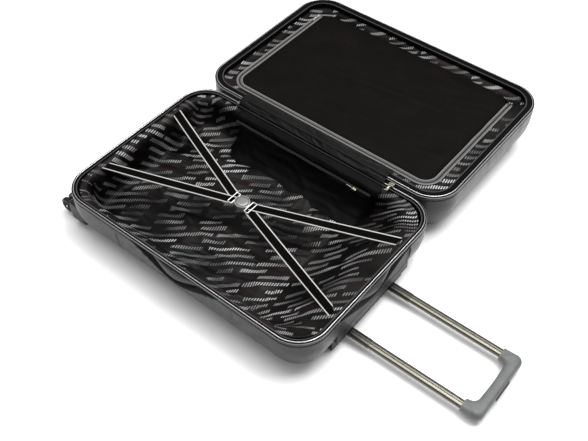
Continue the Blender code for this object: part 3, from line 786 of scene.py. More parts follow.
def add_shells():
    base = add_shell("base_hard_shell", 0.0, BASE_DEPTH, "base")
    add_shell("lid_hard_shell", LID_Y, LID_DEPTH, "lid")
    cut_window(base, bowed(*SIDE_OPENING), (0.005, -0.2430), 0.0160, "Y")
    housing = outline(TOP_OPENING[0], 0.0543, 0.004, (0.0, 0.0600), 0.01)[0]
    cut_window(base, housing, (0.3400, 0.0), 0.0400, "X")
    cut_window(base, bowed(*TOP_OPENING), (0.3400, 0.0), 0.0400, "X")


# Rim: piping, zip tape and teeth


def add_rim(half, centre_y, rim_z, tape_inner):
    centre = (0.0, centre_y)
    path = outline(HALF_X, HALF_Y, CORNER, centre, 0.007)
    cord = arc(0.0050, rim_z + 0.0011, 0.0011, 0, 4, 8)[:-1]
    piping = sweep_ring(half + "_silver_piping", path, cord, "piping")
    stand_for(piping, half, half + "_rim_piping")
    section = (
        (0.0034, 0.0), (0.0034, 0.0012), (0.0062, 0.0020), (0.0078, 0.0017), (tape_inner - 0.0012, 0.0013),
        (tape_inner + 0.0008, 0.0009), (tape_inner + 0.0008, -0.0003), (0.0078, 0.0),
    )
    section = [(inset, rim_z - 0.0016 + z) for inset, z in section]
    tape = sweep_ring(half + "_zip_tape_cloth", path, section, "tape")
    stand_for(tape, half, half + "_zip_tape")
    inset = tape_inner + 0.0020
    points, outs, _ = outline(HALF_X - inset, HALF_Y - inset, CORNER - inset, centre, 0.0027)
    tooth = ((-0.0019, -0.0005), (-0.0012, 0.0009), (0.0012, 0.0009), (0.0019, -0.0005))
    size = (0.00088, 0.0004, 0.72)
    teeth = add_teeth(half + "_zip_teeth", points, outs, tooth, size, "coil", rim_z - 0.0006)
    stand_for(teeth, half, half + "_zip_coil")


# Linings


def tray(half_x, half_y, radius, centre, wall, step):
    """Cloth laid over a tray: a floor patch and rings up its walls.

    wall is a list of (outward, z) points from the floor's edge up. Returns vertices, faces, flat coordinates,
    distance up the wall, and outward directions.
    """
    nx, ny = round(2 * half_x / step), round(2 * half_y / step)
    points, outs = split_outline(half_x, half_y, radius, nx, ny)
    count = len(points)
    faces = grid_faces(ny + 1, nx + 1)
    flat = [coons(points, nx, ny).reshape(-1, 2)]
    first = len(flat[0])
    verts = [np.column_stack([flat[0] + centre, np.full(first, wall[0][1])])]
    spread, direction = [np.zeros(first)], [np.zeros((first, 2))]
    index = np.arange(first).reshape(ny + 1, nx + 1)
    edge = np.concatenate([index[:-1, -1], index[-1, :0:-1], index[:0:-1, 0], index[0, :-1]])
    direction[0][edge] = outs
    run = 0.0
    for (out_a, z_a), (out_b, z_b) in zip(wall, wall[1:]):
        length = math.hypot(out_b - out_a, z_b - z_a)
        levels = max(1, round(length / step))
        for share in np.arange(1, levels + 1) / levels:
            reach, height = out_a + (out_b - out_a) * share, z_a + (z_b - z_a) * share
            verts.append(np.column_stack([points + outs * reach + centre, np.full(count, height)]))
            flat.append(points + outs * (run + length * share))
            ring = first + np.arange(count)
            faces += zip(edge, ring, np.roll(ring, -1), np.roll(edge, -1))
            edge, first = ring, first + count
            spread.append(np.full(count, run + length * share))
            direction.append(outs)
        run += length
    verts, flat, spread, direction = map(np.concatenate, (verts, flat, spread, direction))
    return verts, faces, flat, spread, direction


def fold_field(u, v, seed):
    """Height of crumpled cloth, from about -0.4 to 0.6: long wandering folds with finer ones between them."""
    wu = u + 0.034 * ripple(u / 0.15, v / 0.11, seed + 1)
    wv = v + 0.030 * ripple(u / 0.12, v / 0.14, seed + 2)
    turn = 0.30 + 0.55 * ripple(u / 0.24, v / 0.20, seed + 3)
    a = wu * np.cos(turn) + wv * np.sin(turn)
    b = wv * np.cos(turn) - wu * np.sin(turn)
    broad, fine = creases(a / 0.24, b / 0.078, seed + 4), creases(a / 0.11, b / 0.034, seed + 8)
    return 0.80 * broad + 0.34 * fine - 0.48


def add_lining(name, verts, faces, flat, height, drag, loose):
    """Laid cloth: folds raised along its normals, its print dragged with them and painted shade put in its
    valleys.
    """
    lining = add_piece(name, verts, faces, "lining", flat)
    mesh = lining.data
    normals = np.array([normal.vector for normal in mesh.vertex_normals])
    co = np.array([point.co for point in mesh.vertices]) + normals * height[:, None]
    mesh.vertices.foreach_set("co", co.astype(np.float32).ravel())
    u, v = flat[:, 0], flat[:, 1]
    pull = drag * (ripple(u / 0.12, v / 0.10 + 1.7, 52) + 0.30 * ripple(u / 0.05, v / 0.04, 54))
    # Depth of each valley, kept for the painted shade there
    painted_fold_shade = np.clip(0.0070 - height, 0.0, 0.0076) * loose
    moved = np.stack([u - pull * math.sin(PRINT_TURN), v + pull * math.cos(PRINT_TURN), painted_fold_shade], 1)
    mesh.attributes["flat"].data.foreach_set("vector", moved.astype(np.float32).ravel())
    mesh.update()
    return add_skin(lining, 0.0009)


def add_base_lining():
    wall = (
        (0.0, 0.0392), (0.006, 0.0400), (0.014, 0.0440), (0.021, 0.0540), (0.025, 0.0800), (0.028, 0.1130),
        (0.033, 0.1225), (0.0445, 0.1262),
    )
    verts, faces, flat, spread, direction = tray(0.291, 0.1805, 0.026, (-0.0050, 0.0), wall, 0.0046)
    clear_handle_end(verts, flat, direction)
    on_wall = smooth(spread / 0.03)
    height = fold_field(flat[:, 0], flat[:, 1], 3)
    height = np.maximum(height * (0.024 * (1 - on_wall) + 0.010 * on_wall) + 0.002, -0.0006)
    loose = smooth((spread.max() - spread - 0.004) / 0.030)
    height *= 0.04 + 0.96 * loose
    lining = add_lining("base_lining_cloth", verts, faces, flat, height, 0.0075, loose)
    stand_for(lining, "base", "base_lining")


def clear_handle_end(verts, flat, direction):
    """Slopes the cloth over the handle housing and out to the rim above, keeping the print to scale."""
    start = 0.100
    levels = np.array((0.0392, 0.0440, 0.0540, 0.0800, 0.1130, 0.1165, 0.1225, 0.1262))
    made = np.array((0.2860, 0.3000, 0.3070, 0.3110, 0.3140, 0.3158, 0.3190, 0.3305))
    wanted = np.array((0.1700, 0.1820, 0.2040, 0.2500, 0.2950, 0.3010, 0.3290, 0.3400))
    run = distances(np.stack([wanted, levels], 1))
    x, z = verts[:, 0].copy(), verts[:, 2]
    target = np.interp(z, levels, wanted)
    moved = start + (x - start) * (target - start) / (np.interp(z, levels, made) - start)
    verts[:, 0] = np.where(x > start, moved, x)
    longer = (np.interp(z, levels, run) - (target - wanted[0])) * np.clip(direction[:, 0], 0, 1)
    flat[:, 0] = np.where(x > start, moved + 0.005 + longer, flat[:, 0])


def add_lid_lining():
    wall = ((0.0, 0.0112), (0.018, 0.0220), (0.038, 0.0500), (0.050, 0.0900), (0.051, 0.1238))
    verts, faces, flat, spread, _ = tray(0.281, 0.166, 0.010, (0.0, LID_Y), wall, 0.0075)
    loose = smooth((spread.max() - spread) / 0.030)
    height = np.maximum(fold_field(flat[:, 0], flat[:, 1], 17) * 0.012 + 0.001, -0.0006) * loose
    lining = add_lining("lid_lining_cloth", verts, faces, flat, height, 0.006, loose)
    stand_for(lining, "lid", "lid_lining")


def add_lid_border():
    nx, ny, levels = 130, 84, 9
    outer, _ = split_outline(0.332, 0.217, 0.052, nx, ny)
    inner = split_outline(0.3010, 0.1925, 0.040, nx, ny)[0] + (0.0, -0.0055)
    count = len(outer)
    run = np.arange(count) * 0.0052
    rings = []
    for share in np.linspace(0, 1, levels):
        fold = creases(run / 0.05, np.full(count, share * 1.3), 8) - 0.5
        dip = (0.0016 * fold - 0.0042) * math.sin(math.pi * share)
        rings.append(np.column_stack([outer * (1 - share) + inner * share, 0.1262 + dip]))
    verts = np.concatenate(rings)
    flat = verts[:, :2] + (0.013, 0.4)
    verts[:, 1] += LID_Y
    border = add_piece("lid_border_cloth", verts, grid_faces(levels, count, False, True), "lining", flat)
    add_skin(border, 0.0011)
    stand_for(border, "lid", "lid_border")


# Lid divider


def track_line():
    """Middle of the zip round three sides of the divider panel."""
    half, low, radius, end_y = 0.29485, 0.28915, 0.038, 0.6490
    bend = half - radius
    line = [(-half, end_y)] + arc(-bend, low + radius, radius, 2, 3, 14)
    return line + arc(bend, low + radius, radius, 3, 4, 14) + [(half, end_y)]


def track(step):
    points, ahead, marks = even_path(track_line(), step)
    return points, np.stack([ahead[:, 1], -ahead[:, 0]], 1), marks


def add_divider_zip():
    points, outs, marks = track(0.005)
    points = points + outs * (0.0005 * ripple(marks / 0.035, marks * 0 + 0.3, 5))[:, None]
    cloth = [
        (-0.0078, 0.1270), (-0.0078, 0.1282), (-0.0060, 0.1286), (-0.0026, 0.1280), (0.0, 0.1276),
        (0.0026, 0.1280), (0.0060, 0.1286), (0.0080, 0.1282), (0.0080, 0.1270), (0.0, 0.1268),
    ]
    stand_for(sweep_open("divider_zip_cloth", points, outs, cloth, "grey_tape"), "lid", "divider_zip")
    for name, middle, radius in (("inner", -0.0064, 0.0012), ("outer", 0.0066, 0.0011)):
        ring = arc(middle, 0.1283, radius, 0, 4, 8)[:-1]
        stand_for(sweep_open("divider_zip_bead_" + name, points, outs, ring, "pale_piping"), "lid")
    points, outs, _ = track(0.0025)
    tooth = ((-0.0020, 0.0), (-0.0012, 0.0011), (0.0012, 0.0011), (0.0020, 0.0))
    size = (0.00085, 0.000476, 0.70)
    stand_for(add_teeth("divider_zip_teeth", points, outs, tooth, size, "black_teeth", 0.1279), "lid")


def add_divider_panel():
    half_x, half_y, middle_y, radius = 0.2860, 0.1850, 0.4830, 0.030
    nx, ny = 116, 76
    u, v = np.moveaxis(coons(split_outline(half_x, half_y, radius, nx, ny)[0], nx, ny), 2, 0)
    sag = 0.0016 * creases(u / 0.16 + 0.25 * v / 0.1, v / 0.07 + 0.12 * np.sin(u / 0.07), 21)
    sag += 0.0007 * ripple(u / 0.035 + 3, v / 0.016, 4)
    fold = np.exp(-(((v - 0.02 - 0.02 * np.sin(u / 0.13)) / 0.006) ** 2)) * smooth((0.2 - np.abs(u)) / 0.1)
    calm = smooth((half_x - np.abs(u)) / 0.03) * smooth((half_y - np.abs(v)) / 0.03)
    top = 0.1286 + (sag + 0.0016 * fold) * calm
    panel = add_cloth("divider_panel_cloth", u, v + middle_y, top, u, v, "panel", 0.0014)
    stand_for(panel, "divider_panel", "divider_panel")
    inset, step = 0.0035, 0.006
    points, outs, _ = outline(half_x - inset, half_y - inset, radius - inset, (0.0, middle_y), step)
    hem = ((-0.0030, 0.1282), (-0.0030, 0.1292), (0.0, 0.1298), (0.0030, 0.1292), (0.0030, 0.1282))
    path = (points, outs, np.arange(len(points)) * step)
    stand_for(sweep_ring("divider_panel_hem", path, hem, "panel"), "divider_panel")


# Zip sliders and pulls


def add_slider_body(name, middle, size, turn, look):
    """Wedge-shaped zip slider with flanges, a groove for the teeth and a bridge on top."""
    length, width, height = size
    plan = [(-0.50, -0.30), (-0.34, -0.36), (0.10, -0.50), (0.42, -0.50), (0.50, -0.42), (0.50, -0.12)]
    plan += [(0.30, 0.0)] + [(x, -y) for x, y in reversed(plan)]
    verts, faces = [], []
    for low, high, grow in ((-0.5, -0.17, 1.0), (-0.17, 0.12, 0.62), (0.12, 0.36, 1.0)):
        faces += tube_faces(2, len(plan), len(verts))
        verts += [(x * length, y * width * grow, z * height) for z in (low, high) for x, y in plan]
    slider = tidy_normals(add_piece(name + "_body", verts, faces, look, smooth=False))
    arch = [(0.30 * length * x, 0.0, (0.34 + 0.22 * z) * height) for x, z in arc(0, 0, 1, 2, 0, 8)]
    bridge = add_wire(name + "_body_bridge", arch, width * 0.09, look)
    for piece in (bevelled(slider, 0.0004, 2), bridge):
        piece.matrix_world = Matrix.Translation(middle) @ turn
    stand_for(slider, name, name)
    stand_for(bridge, name)


def add_pull_tab(name, hinge, length, turn, look):
    """Flat cast tab: a ring at the hinge, a waist and a broad rounded end with a sunk face."""
    half = []
    for t in np.linspace(0, 1, 25):
        width = 0.0015 + 0.0015 * smooth((t - 0.15) / 0.35)
        if t > 0.86:
            width *= math.sqrt(max(0.0, 1 - ((t - 0.86) / 0.14) ** 2 * 0.92))
        half.append((-0.0012 + (length + 0.0012) * t, width))
    plan = half + [(x, -y) for x, y in reversed(half)]
    levels = ((-0.5, 0.86), (-0.32, 1.0), (0.32, 1.0), (0.5, 0.86), (0.5, 0.66), (0.26, 0.56))
    rings = [
        [(x * (0.5 + 0.5 * grow) + (1 - grow) * length * 0.25, y * grow, z * 0.0014) for x, y in plan]
        for z, grow in levels
    ]
    tab = add_tube(name + "_tab", rings, look)
    loop = [(x, y, 0.0) for x, y in arc(0.0004, 0.0, 0.0019, 0, 4, 12)[:-1]]
    ring = add_wire(name + "_tab_ring", loop, 0.00055, look, closed=True)
    for piece in (tab, ring):
        piece.matrix_world = Matrix.Translation(hinge) @ turn
    stand_for(tab, name, name)
    stand_for(ring, name)


def add_sliders():
    straight = Matrix.Identity(4)
    toward_near = Matrix.Rotation(-math.pi / 2, 4, "Z")
    flat_to_wall = Matrix.Rotation(math.pi, 4, "Z") @ Matrix.Rotation(math.pi / 2, 4, "X")
    for name, spot, size, turn, hinge, length, hang, look in (
        ("main_zip", (0.2265, 0.2358, 0.1364), (0.0125, 0.0092, 0.0055), straight,
         (0.2265, 0.2297, 0.1362), 0.016, toward_near, "brass"),
        ("divider_zip", (-0.2950, 0.6430, 0.1306), (0.0112, 0.0088, 0.0050), toward_near,
         (-0.2950, 0.6359, 0.1312), 0.0190, toward_near, "pale_brass"),
        ("base_pocket", (0.158, 0.1890, 0.1140), (0.011, 0.0070, 0.0062), flat_to_wall,
         (0.1509, 0.1892, 0.1140), 0.017, flat_to_wall, "brass"),
    ):
        add_slider_body(name + "_slider", spot, size, turn, look)
        add_pull_tab(name + "_pull", hinge, length, hang, look)


# Hinge side: gusset, zip stop and wall pocket


def add_gusset():
    x = np.linspace(-0.222, 0.209, 145)
    section = ((0.2286, 0.1352), (0.2345, 0.1392), (0.2425, 0.1440), (0.2560, 0.1442), (0.2692, 0.1437))
    line, _, run = even_path(section, 0.0016)
    u, v = np.meshgrid(x, run, indexing="ij")
    long_folds = ripple(v / 0.0065 + 1.2 * np.sin(u / 0.045) + u / 0.2, u / 0.085, 31)
    cross_folds = creases(u / 0.028 + v / 0.02, v / 0.02 + u / 0.09, 9) - 0.5
    lift = 0.0022 * long_folds + 0.0036 * cross_folds
    calm = smooth(v / 0.008) * smooth((run[-1] - v) / 0.008)
    y = line[None, :, 0]
    z = line[None, :, 1] + np.minimum(lift * (0.12 + 0.88 * calm) - 0.0010, 0.0012)
    over_piping = smooth((y - 0.2405) / 0.0015) * smooth((0.2505 - y) / 0.0015)
    z = np.where(y > 0.2405, np.maximum(z, 0.1416 + 0.0032 * over_piping), z)
    gusset = add_cloth("hinge_gusset_satin", u, y, z, u, v, "gusset", 0.0010)
    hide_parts("hinge_gusset")
    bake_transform(gusset)


def add_zip_stop():
    """Metal box that ends the run of the main zip at the gusset."""
    low, high = (-0.2290, 0.2285, 0.1296), (-0.2225, 0.2395, 0.1340)
    stand_for(add_box("main_zip_stop", low, high, "silver", 0.0006), "base")
    low, high = (-0.2278, 0.2315, 0.1338), (-0.2240, 0.2365, 0.1349)
    stand_for(add_box("main_zip_stop_fold", low, high, "silver", 0.0004), "base")


def add_pocket():
    low, high, rows = -0.2050, 0.2120, 31
    wall = ((0.2135, 0.109), (0.2075, 0.080), (0.1965, 0.054), (0.1830, 0.0440), (0.1700, 0.0405))
    slope = ((0.1955, 0.1095), (0.1900, 0.0960), (0.1775, 0.0750), (0.1600, 0.0570), (0.1375, 0.0425))
    t = np.linspace(0, 1, rows)
    lines = []
    for corners in (wall, slope):
        line, _, _ = even_path(corners, 0.001)
        lines.append(sampled(line, t * distances(line)[-1]))
    x = np.linspace(low, high, 93)
    inset = smooth((x - low) / 0.034) * smooth((high - x) / 0.030)
    share = inset[:, None, None] ** 0.7
    yz = lines[0][None] * (1 - share) + lines[1][None] * share
    u, v = np.meshgrid(x, t * 0.095, indexing="ij")
    folds = 0.0030 * ripple(u / 0.052 + 0.5 * v / 0.05, v / 0.09, 12)
    folds += 0.0035 * (creases(u / 0.075 - v / 0.07, v / 0.05 + u / 0.3, 6) - 0.5)
    folds += 0.0022 * np.sin(u / 0.0135 + 3 * v / 0.09) * np.exp(-v / 0.02)
    folds *= smooth(v / 0.008) * inset[:, None]
    y, z = yz[..., 0] - folds * 0.8, yz[..., 1] + folds * 0.6
    pocket = add_cloth("wall_pocket_satin", u, y, z, u, v, "satin", 0.0008, flip=True)
    stand_for(pocket, "base", "base_wall_pocket")


def add_pocket_back():
    """Plain satin that faces the wall from the pocket's mouth up to the rim."""
    x = np.linspace(-0.2070, 0.2140, 86)
    line, _, run = even_path(((0.1995, 0.1085), (0.2020, 0.1150), (0.2078, 0.1228), (0.2236, 0.1297)), 0.0022)
    u, v = np.meshgrid(x, run, indexing="ij")
    calm = smooth(v / 0.004) * smooth((run[-1] - v) / 0.005)
    y = line[None, :, 0] - 0.0016 * ripple(u / 0.03 + v / 0.02, v / 0.018, 71) * calm
    back = add_cloth("wall_pocket_facing", u, y, line[None, :, 1], u, v, "satin", 0.0008, flip=True)
    stand_for(back, "base")


def add_pocket_zip():
    """Upright zip strip along the pocket's mouth, with its teeth in the middle."""
    x = np.linspace(-0.200, 0.200, 81)
    wave = 0.0006 * ripple(x / 0.03, x * 0, 15)
    outs = np.tile((0.0, -1.0), (81, 1))
    section = [
        (-0.0006, 0.1092), (0.0006, 0.1092), (0.0010, 0.1104), (0.0007, 0.1140), (0.0010, 0.1170),
        (0.0006, 0.1182), (-0.0006, 0.1182),
    ]
    strip = sweep_open("pocket_zip_cloth", np.stack([x, 0.1936 - wave], 1), outs, section, "pocket_tape")
    stand_for(strip, "base", "base_pocket_zip")
    verts, faces = [], []
    for mark in np.arange(-0.1985, 0.1990, 0.0022):
        y = 0.1926 - 0.0006 * float(ripple(mark / 0.03, 0.0, 15))
        faces += tube_faces(2, 4, len(verts))
        for dx in (-0.0007, 0.0007):
            for dz, dy in ((-0.0018, 0.0), (-0.0010, -0.0009), (0.0010, -0.0009), (0.0018, 0.0)):
                verts.append((mark + dx, y + dy, 0.1140 + dz * 0.7))
    stand_for(tidy_normals(add_piece("pocket_zip_teeth", verts, faces, "coil")), "base")


# Straps and buckle


def add_strap(corner, side, turn, level):
    """One arm of webbing from the wall to the buckle's ring, round its bar and back under itself."""
    start = np.array((side * 0.3283, turn * 0.1175))
    bar = BUCKLE_X + side * 0.0238
    end = np.array((bar, BUCKLE_Y + turn * 0.0055))
    radius = 0.0009
    top = 0.1228 + level * 0.0012
    under = BAR_Z - 0.0024 - (1 - level) * 0.0013
    lean = (end[1] - start[1]) / (end[0] - start[0])
    slant = math.sqrt(1 + lean * lean)
    run = abs(end[0] - start[0])
    line = []
    for t in np.linspace(0, 1, 61):
        sag = 0.0022 * math.sin(math.pi * t) * (0.5 if level else 1.0)
        line.append((start[0] + (end[0] - start[0]) * t, top + (under - top) * t - sag * (1 - t), t * run))
    for turned in np.linspace(0, math.pi, 10)[1:]:
        back = bar - side * radius * math.sin(turned)
        line.append((back, under - radius + radius * math.cos(turned), run + radius * turned))
    for k in range(1, 9):
        spare = 0.0020 * k
        line.append((bar + side * spare, under - 2 * radius - 0.0001 * k, run + radius * math.pi + spare))
    across = np.linspace(-1, 1, 11)
    verts, flat = [], []
    for x, z, s in line:
        reach = min(s, 2 * run - s + 2 * radius) if s > run else s
        y = start[1] + (end[1] - start[1]) * reach / run
        roll = 0.0012 * math.sin(3.1 * s / run + turn) * smooth(1 - s / run)
        verts += [(x, y + a * 0.0115 * slant, z - 0.0004 * a * a + roll * a) for a in across]
        flat += [(s * slant, a * 0.0115) for a in across]
    strap = add_piece("strap_web_" + corner, verts, grid_faces(len(line), len(across)), "webbing", flat)
    tidy_normals(add_skin(strap, 0.0011, 0))
    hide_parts("strap_" + corner)
    if side > 0:
        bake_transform(strap)
    else:
        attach(strap, "base")


def add_buckle():
    spot = (BUCKLE_X, BUCKLE_Y, 0.0)
    body = (
        (0.0172, 0.1110), (0.0180, 0.1116), (0.0180, 0.1190), (0.0177, 0.1198), (0.0171, 0.1204),
        (0.0164, 0.1204), (0.0160, 0.1198), (0.0157, 0.1176), (0.0156, 0.1166), (0.0100, 0.1165),
        (0.0010, 0.1165),
    )
    stand_for(lathe("buckle_disc", body, spot, "Z", "bright_wire", 64), "base", "buckle_body")
    cap = (
        (0.0010, 0.1190), (0.0148, 0.1190), (0.0150, 0.1208), (0.0147, 0.1215), (0.0140, 0.1219),
        (0.0090, 0.1221), (0.0006, 0.1222),
    )
    stand_for(lathe("buckle_push_cap", cap, spot, "Z", "satin_silver", 64), "buckle_button", "buckle_button")
    for side, name, home in ((-1, "buckle_ring_left", "base"), (1, "buckle_ring_right", "buckle_ring_right")):
        points, _, _ = outline(0.0054, 0.0167, 0.0016, (BUCKLE_X + side * 0.0243, BUCKLE_Y), 0.003)
        wire = [(x, y, BAR_Z) for x, y in points]
        stand_for(add_wire(name + "_wire", wire, 0.0012, "bright_wire", 12, True), home, name)
        near, far = sorted((BUCKLE_X + side * 0.0188, BUCKLE_X + side * 0.0062))
        low, high = (near, BUCKLE_Y - 0.0058, 0.1147), (far, BUCKLE_Y + 0.0058, 0.1165)
        stand_for(add_box(name + "_tongue", low, high, "silver", 0.0004), home)


# Telescopic handle


def grooved_tube(name, y, size, ends, look, body):
    """Flat-sided tube with two sunk grooves along its top and underside; the grooves and the shoulders beside
    its top are coloured dark as painted shade.
    """
    half, tall = size[0] / 2, size[1] / 2
    places = [share * (size[0] - size[1]) for share in (0.42, -0.10)]
    notch = ((0.0009, 0.0), (0.0007, 0.0007), (-0.0007, 0.0007), (-0.0009, 0.0))
    top = [(spot + shift, tall - deep) for spot in places for shift, deep in notch]
    bottom = [(a, -b) for a, b in reversed(top)]
    ring = arc(half - tall, 0.0, tall, -1, 1, 12) + top + arc(tall - half, 0.0, tall, 1, 3, 12) + bottom
    rings = [[(x, y + a, TUBE_Z + b) for a, b in ring] for x in np.linspace(*ends, 12)]
    tube = smooth_by_angle(add_tube(name, rings, look, smooth=False), 35)
    tube.data.materials.append(LOOKS["groove"])
    for face in tube.data.polygons:
        off, height = face.center.y - y, face.center.z - TUBE_Z
        sunk = any(abs(off - spot) < 0.0008 for spot in places) and abs(abs(height) - tall + 0.0007) < 0.0002
        bend = (abs(off) - half + tall) / tall
        shoulder = bend > 0.26 if off > 0 else 0.50 < bend < 0.72
        # Painted shade: the grooves and the top's shoulders take the dark colour
        if sunk or (shoulder and height > 0):
            face.material_index = 1
    stand_for(tube, body, "trolley_" + name)


def oval(count, power_a, power_b):
    """Points round a squared-off circle of radius 1."""
    points = arc(0, 0, 1, 0, 4, count)[:-1]
    return [
        (math.copysign(abs(a) ** power_a, a), math.copysign(abs(b) ** power_b, b)) for a, b in points
    ]


def grip_edges():
    """Matched points along the grip's outer and inner outlines, from one tube to the other."""
    steps = np.linspace(0, 1, 5)
    outer = [(0.6222 + 0.0298 * t, -0.0885 - 0.0005 * t) for t in steps]
    inner = [(0.6222 + 0.0028 * t, -0.0612 + 0.0008 * t) for t in steps]
    outer += arc(0.6520, -0.0730, 0.0160, -1, 0, 12)[1:]
    inner += arc(0.6250, -0.0439, 0.0165, -1, 0, 12)[1:]
    for t in np.linspace(0, 1, 13)[1:]:
        outer.append((0.6680, -0.0730 + 0.0730 * t))
        inner.append((0.6415 + 0.0012 * math.sin(math.pi / 2 * t), -0.0439 + 0.0439 * t))
    return tuple(np.array(side + [(x, -y) for x, y in reversed(side[:-1])]) for side in (outer, inner))


def add_grip():
    outer, inner = grip_edges()
    middle, half = (outer + inner) / 2, (outer - inner) / 2
    place = np.arange(len(middle))
    tall = 0.0102 + 0.0024 * smooth(np.minimum(place, place[::-1]) / 6)
    section = oval(44, 0.60, 0.66)
    rings = [
        [(x + sx * a, y + sy * a, TUBE_Z + b * high) for a, b in section]
        for (x, y), (sx, sy), high in zip(middle, half, tall)
    ]
    grip = add_tube("pull_grip", rings, "grip")
    low, high = (0.6625, -0.0268, TUBE_Z - 0.0050), (0.6800, 0.0268, TUBE_Z + 0.0050)
    cut(grip, settle(add_box("slot", low, high, "grip", 0.001)))
    stand_for(smooth_by_angle(grip, 45), "trolley_handle", "trolley_grip")
    head = ((0.0004, 0.0334), (0.0020, 0.0334), (0.0020, 0.0337), (0.0012, 0.0341), (0.0004, 0.0342))
    for name, y in (("left", TUBE_Y), ("right", -TUBE_Y)):
        low, high = (0.6223, y - 0.0124, TUBE_Z - 0.0082), (0.6270, y + 0.0124, TUBE_Z + 0.0082)
        stand_for(add_box("grip_collar_" + name, low, high, "collar", 0.0030), "trolley_handle")
        stand_for(lathe("grip_rivet_" + name, head, (0.6240, y, 0.0), "Z", "silver", 16), "trolley_handle")
    low, high = (0.6655, -0.0258, TUBE_Z - 0.0042), (0.6698, 0.0258, TUBE_Z + 0.0042)
    stand_for(add_box("grip_push_button", low, high, "black", 0.0012), "trolley_button", "trolley_button")


def add_trolley():
    for side, y in (("left", TUBE_Y), ("right", -TUBE_Y)):
        inner, mid = "inner_tube_" + side, "mid_tube_" + side
        grooved_tube(inner, y, (0.0210, 0.0120), (0.365, 0.634), "champagne", "trolley_handle")
        # The mid tubes take the darker copy of the champagne as painted shade
        grooved_tube(mid, y, (0.0226, 0.0136), (0.125, 0.3995), "dark_aluminium", "trolley_mid")
    add_grip()


# Carry handles and their recesses


def add_crescent(name, place, axis, body):
    """Bowed carry handle: broad and raised in the middle, tapering to flat ends."""
    half_length, low, high = 0.100, 0.0990, 0.1215
    section = oval(20, 0.7, 0.55)
    rings = []
    for t in np.linspace(-1, 1, 49):
        lift = (0.5 + 0.5 * math.cos(math.pi * t)) ** 1.3
        out, thick = 0.0120 * lift - 0.0030, 0.0026 + 0.0012 * lift
        tall = (high - low) / 2 * (0.30 + 0.70 * lift)
        way = 1 if axis == "Y" else -1
        along, middle = t * half_length, high - tall
        rings.append([
            facing(place, axis, along, middle + b * tall, way * (a * thick - out)) for a, b in section
        ])
    stand_for(add_tube(name, rings, "grey"), body, body)


def add_recess(name, place, axis, opening, deep, *nodes):
    """Black recess behind a carry handle: a lip in the shell's opening, a sloping wall and a floor."""
    half, low, sag = opening
    count = 120
    levels = ((0.0004, 0.0), (0.0012, 0.0), (0.0024, 0.0012), (0.0060, deep - 0.0016), (0.0080, deep))
    verts = []
    for shrink, inward in levels:
        points = np.array(bowed(half - shrink, low + shrink * 0.2, sag - shrink, OPENING_TOP - shrink))
        offset = -inward if axis == "X" else inward
        verts += [facing(place, axis, along, z, offset) for along, z in resample_closed(points, count)]
    floor = tuple(range(len(verts) - count, len(verts)))
    cup = add_piece(name, verts, grid_faces(5, count, False, True) + [floor], "black")
    stand_for(smooth_by_angle(tidy_normals(add_skin(cup, 0.0010, 0)), 35), "base", *nodes)


def add_apron():
    """Fills the housing's recess up to the bowed lower edge of the handle's opening."""
    edge = [(y, z) for y, z in bowed(*TOP_OPENING)[41:] if abs(y) < 0.1190]
    edge = [(-0.1194, edge[0][1])] + edge + [(0.1194, edge[-1][1])]
    count = len(edge)
    verts = []
    for x, drop in ((0.3425, 0.0012), (0.3506, 0.0012), (0.3516, 0.0)):
        verts += [(x, y, min(z, TOP_OPENING[1]) - 0.0012 + drop) for y, z in edge]
        verts += [(x, y, 0.0664) for y, _ in reversed(edge)]
    faces = grid_faces(3, 2 * count, False, True)
    for start in (0, 4 * count):
        last = start + 2 * count - 1
        faces += [(start + k, start + k + 1, last - 1 - k, last - k) for k in range(count - 1)]
    apron = tidy_normals(add_piece("recess_apron", verts, faces, "housing", smooth=False))
    stand_for(smooth_by_angle(apron, 30), "base")


def add_end_housing():
    """The CAD housing of the handle's end, with the bowed opening cut into it."""
    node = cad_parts["handle_end_housing"]
    housing = link(bpy.data.objects.new("end_housing", node.data.copy()))
    housing.matrix_world = node.matrix_world.copy()
    dress(housing, "housing")
    cut_window(housing, bowed(*TOP_OPENING), (0.3600, 0.0), 0.0195, "X")
    stand_for(housing, "base", "handle_end_housing")


def add_handles():
    add_crescent("side_crescent", (0.005, -0.2325), "Y", "side_carry_handle")
    add_crescent("top_crescent", (0.3465, 0.0), "X", "top_carry_handle")
    add_recess("side_recess", (0.005, -0.2388), "Y", SIDE_OPENING, 0.0140, "side_handle_cup")
    add_end_housing()
    add_apron()
    add_recess("top_recess", (0.3512, 0.0), "X", TOP_OPENING, 0.0104)
    for name, sign in (("near", -1), ("far", 1)):
        near, far = sorted((sign * 0.0940, sign * 0.1000))
        low, high = (0.005 + near, -0.2268, 0.1155), (0.005 + far, -0.2240, 0.1205)
        stand_for(add_box("side_handle_post_" + name, low, high, "black", 0.0005), "base")
        low, high = (0.3400, near, 0.1155), (0.3408, far, 0.1205)
        stand_for(add_box("top_handle_post_" + name, low, high, "black", 0.0002), "base")


# Casters, and the CAD pieces kept in better materials


def dress(obj, look):
    obj.data.materials.clear()
    obj.data.materials.append(LOOKS[look])


def add_wheel(name, centre):
    """Tyre with a tread groove and a sunk, spoked hub cap."""
    half = 0.00575
    face = (
        (0.0034, 0.80), (0.0060, 0.86), (0.0064, 0.66), (0.0112, 0.60), (0.0118, 0.90), (0.0136, 1.0),
        (0.0178, 1.0), (0.0194, 0.80), (0.0200, 0.45), (0.0200, 0.12), (0.0194, 0.06),
    )
    profile = [(radius, -half * share) for radius, share in face]
    profile += [(radius, half * share) for radius, share in reversed(face)]
    stand_for(lathe(name + "_tyre", profile, centre, "Y", "rubber"), name, name)
    for k in range(5):
        low, high = (-0.0010, -half * 0.82, 0.0058), (0.0010, half * 0.82, 0.0118)
        spoke = add_box(name + "_spoke_" + str(k), low, high, "hub", 0.0005)
        spoke.matrix_world = Matrix.Translation(centre) @ Matrix.Rotation(2 * math.pi * k / 5, 4, "Y")
        stand_for(spoke, name)


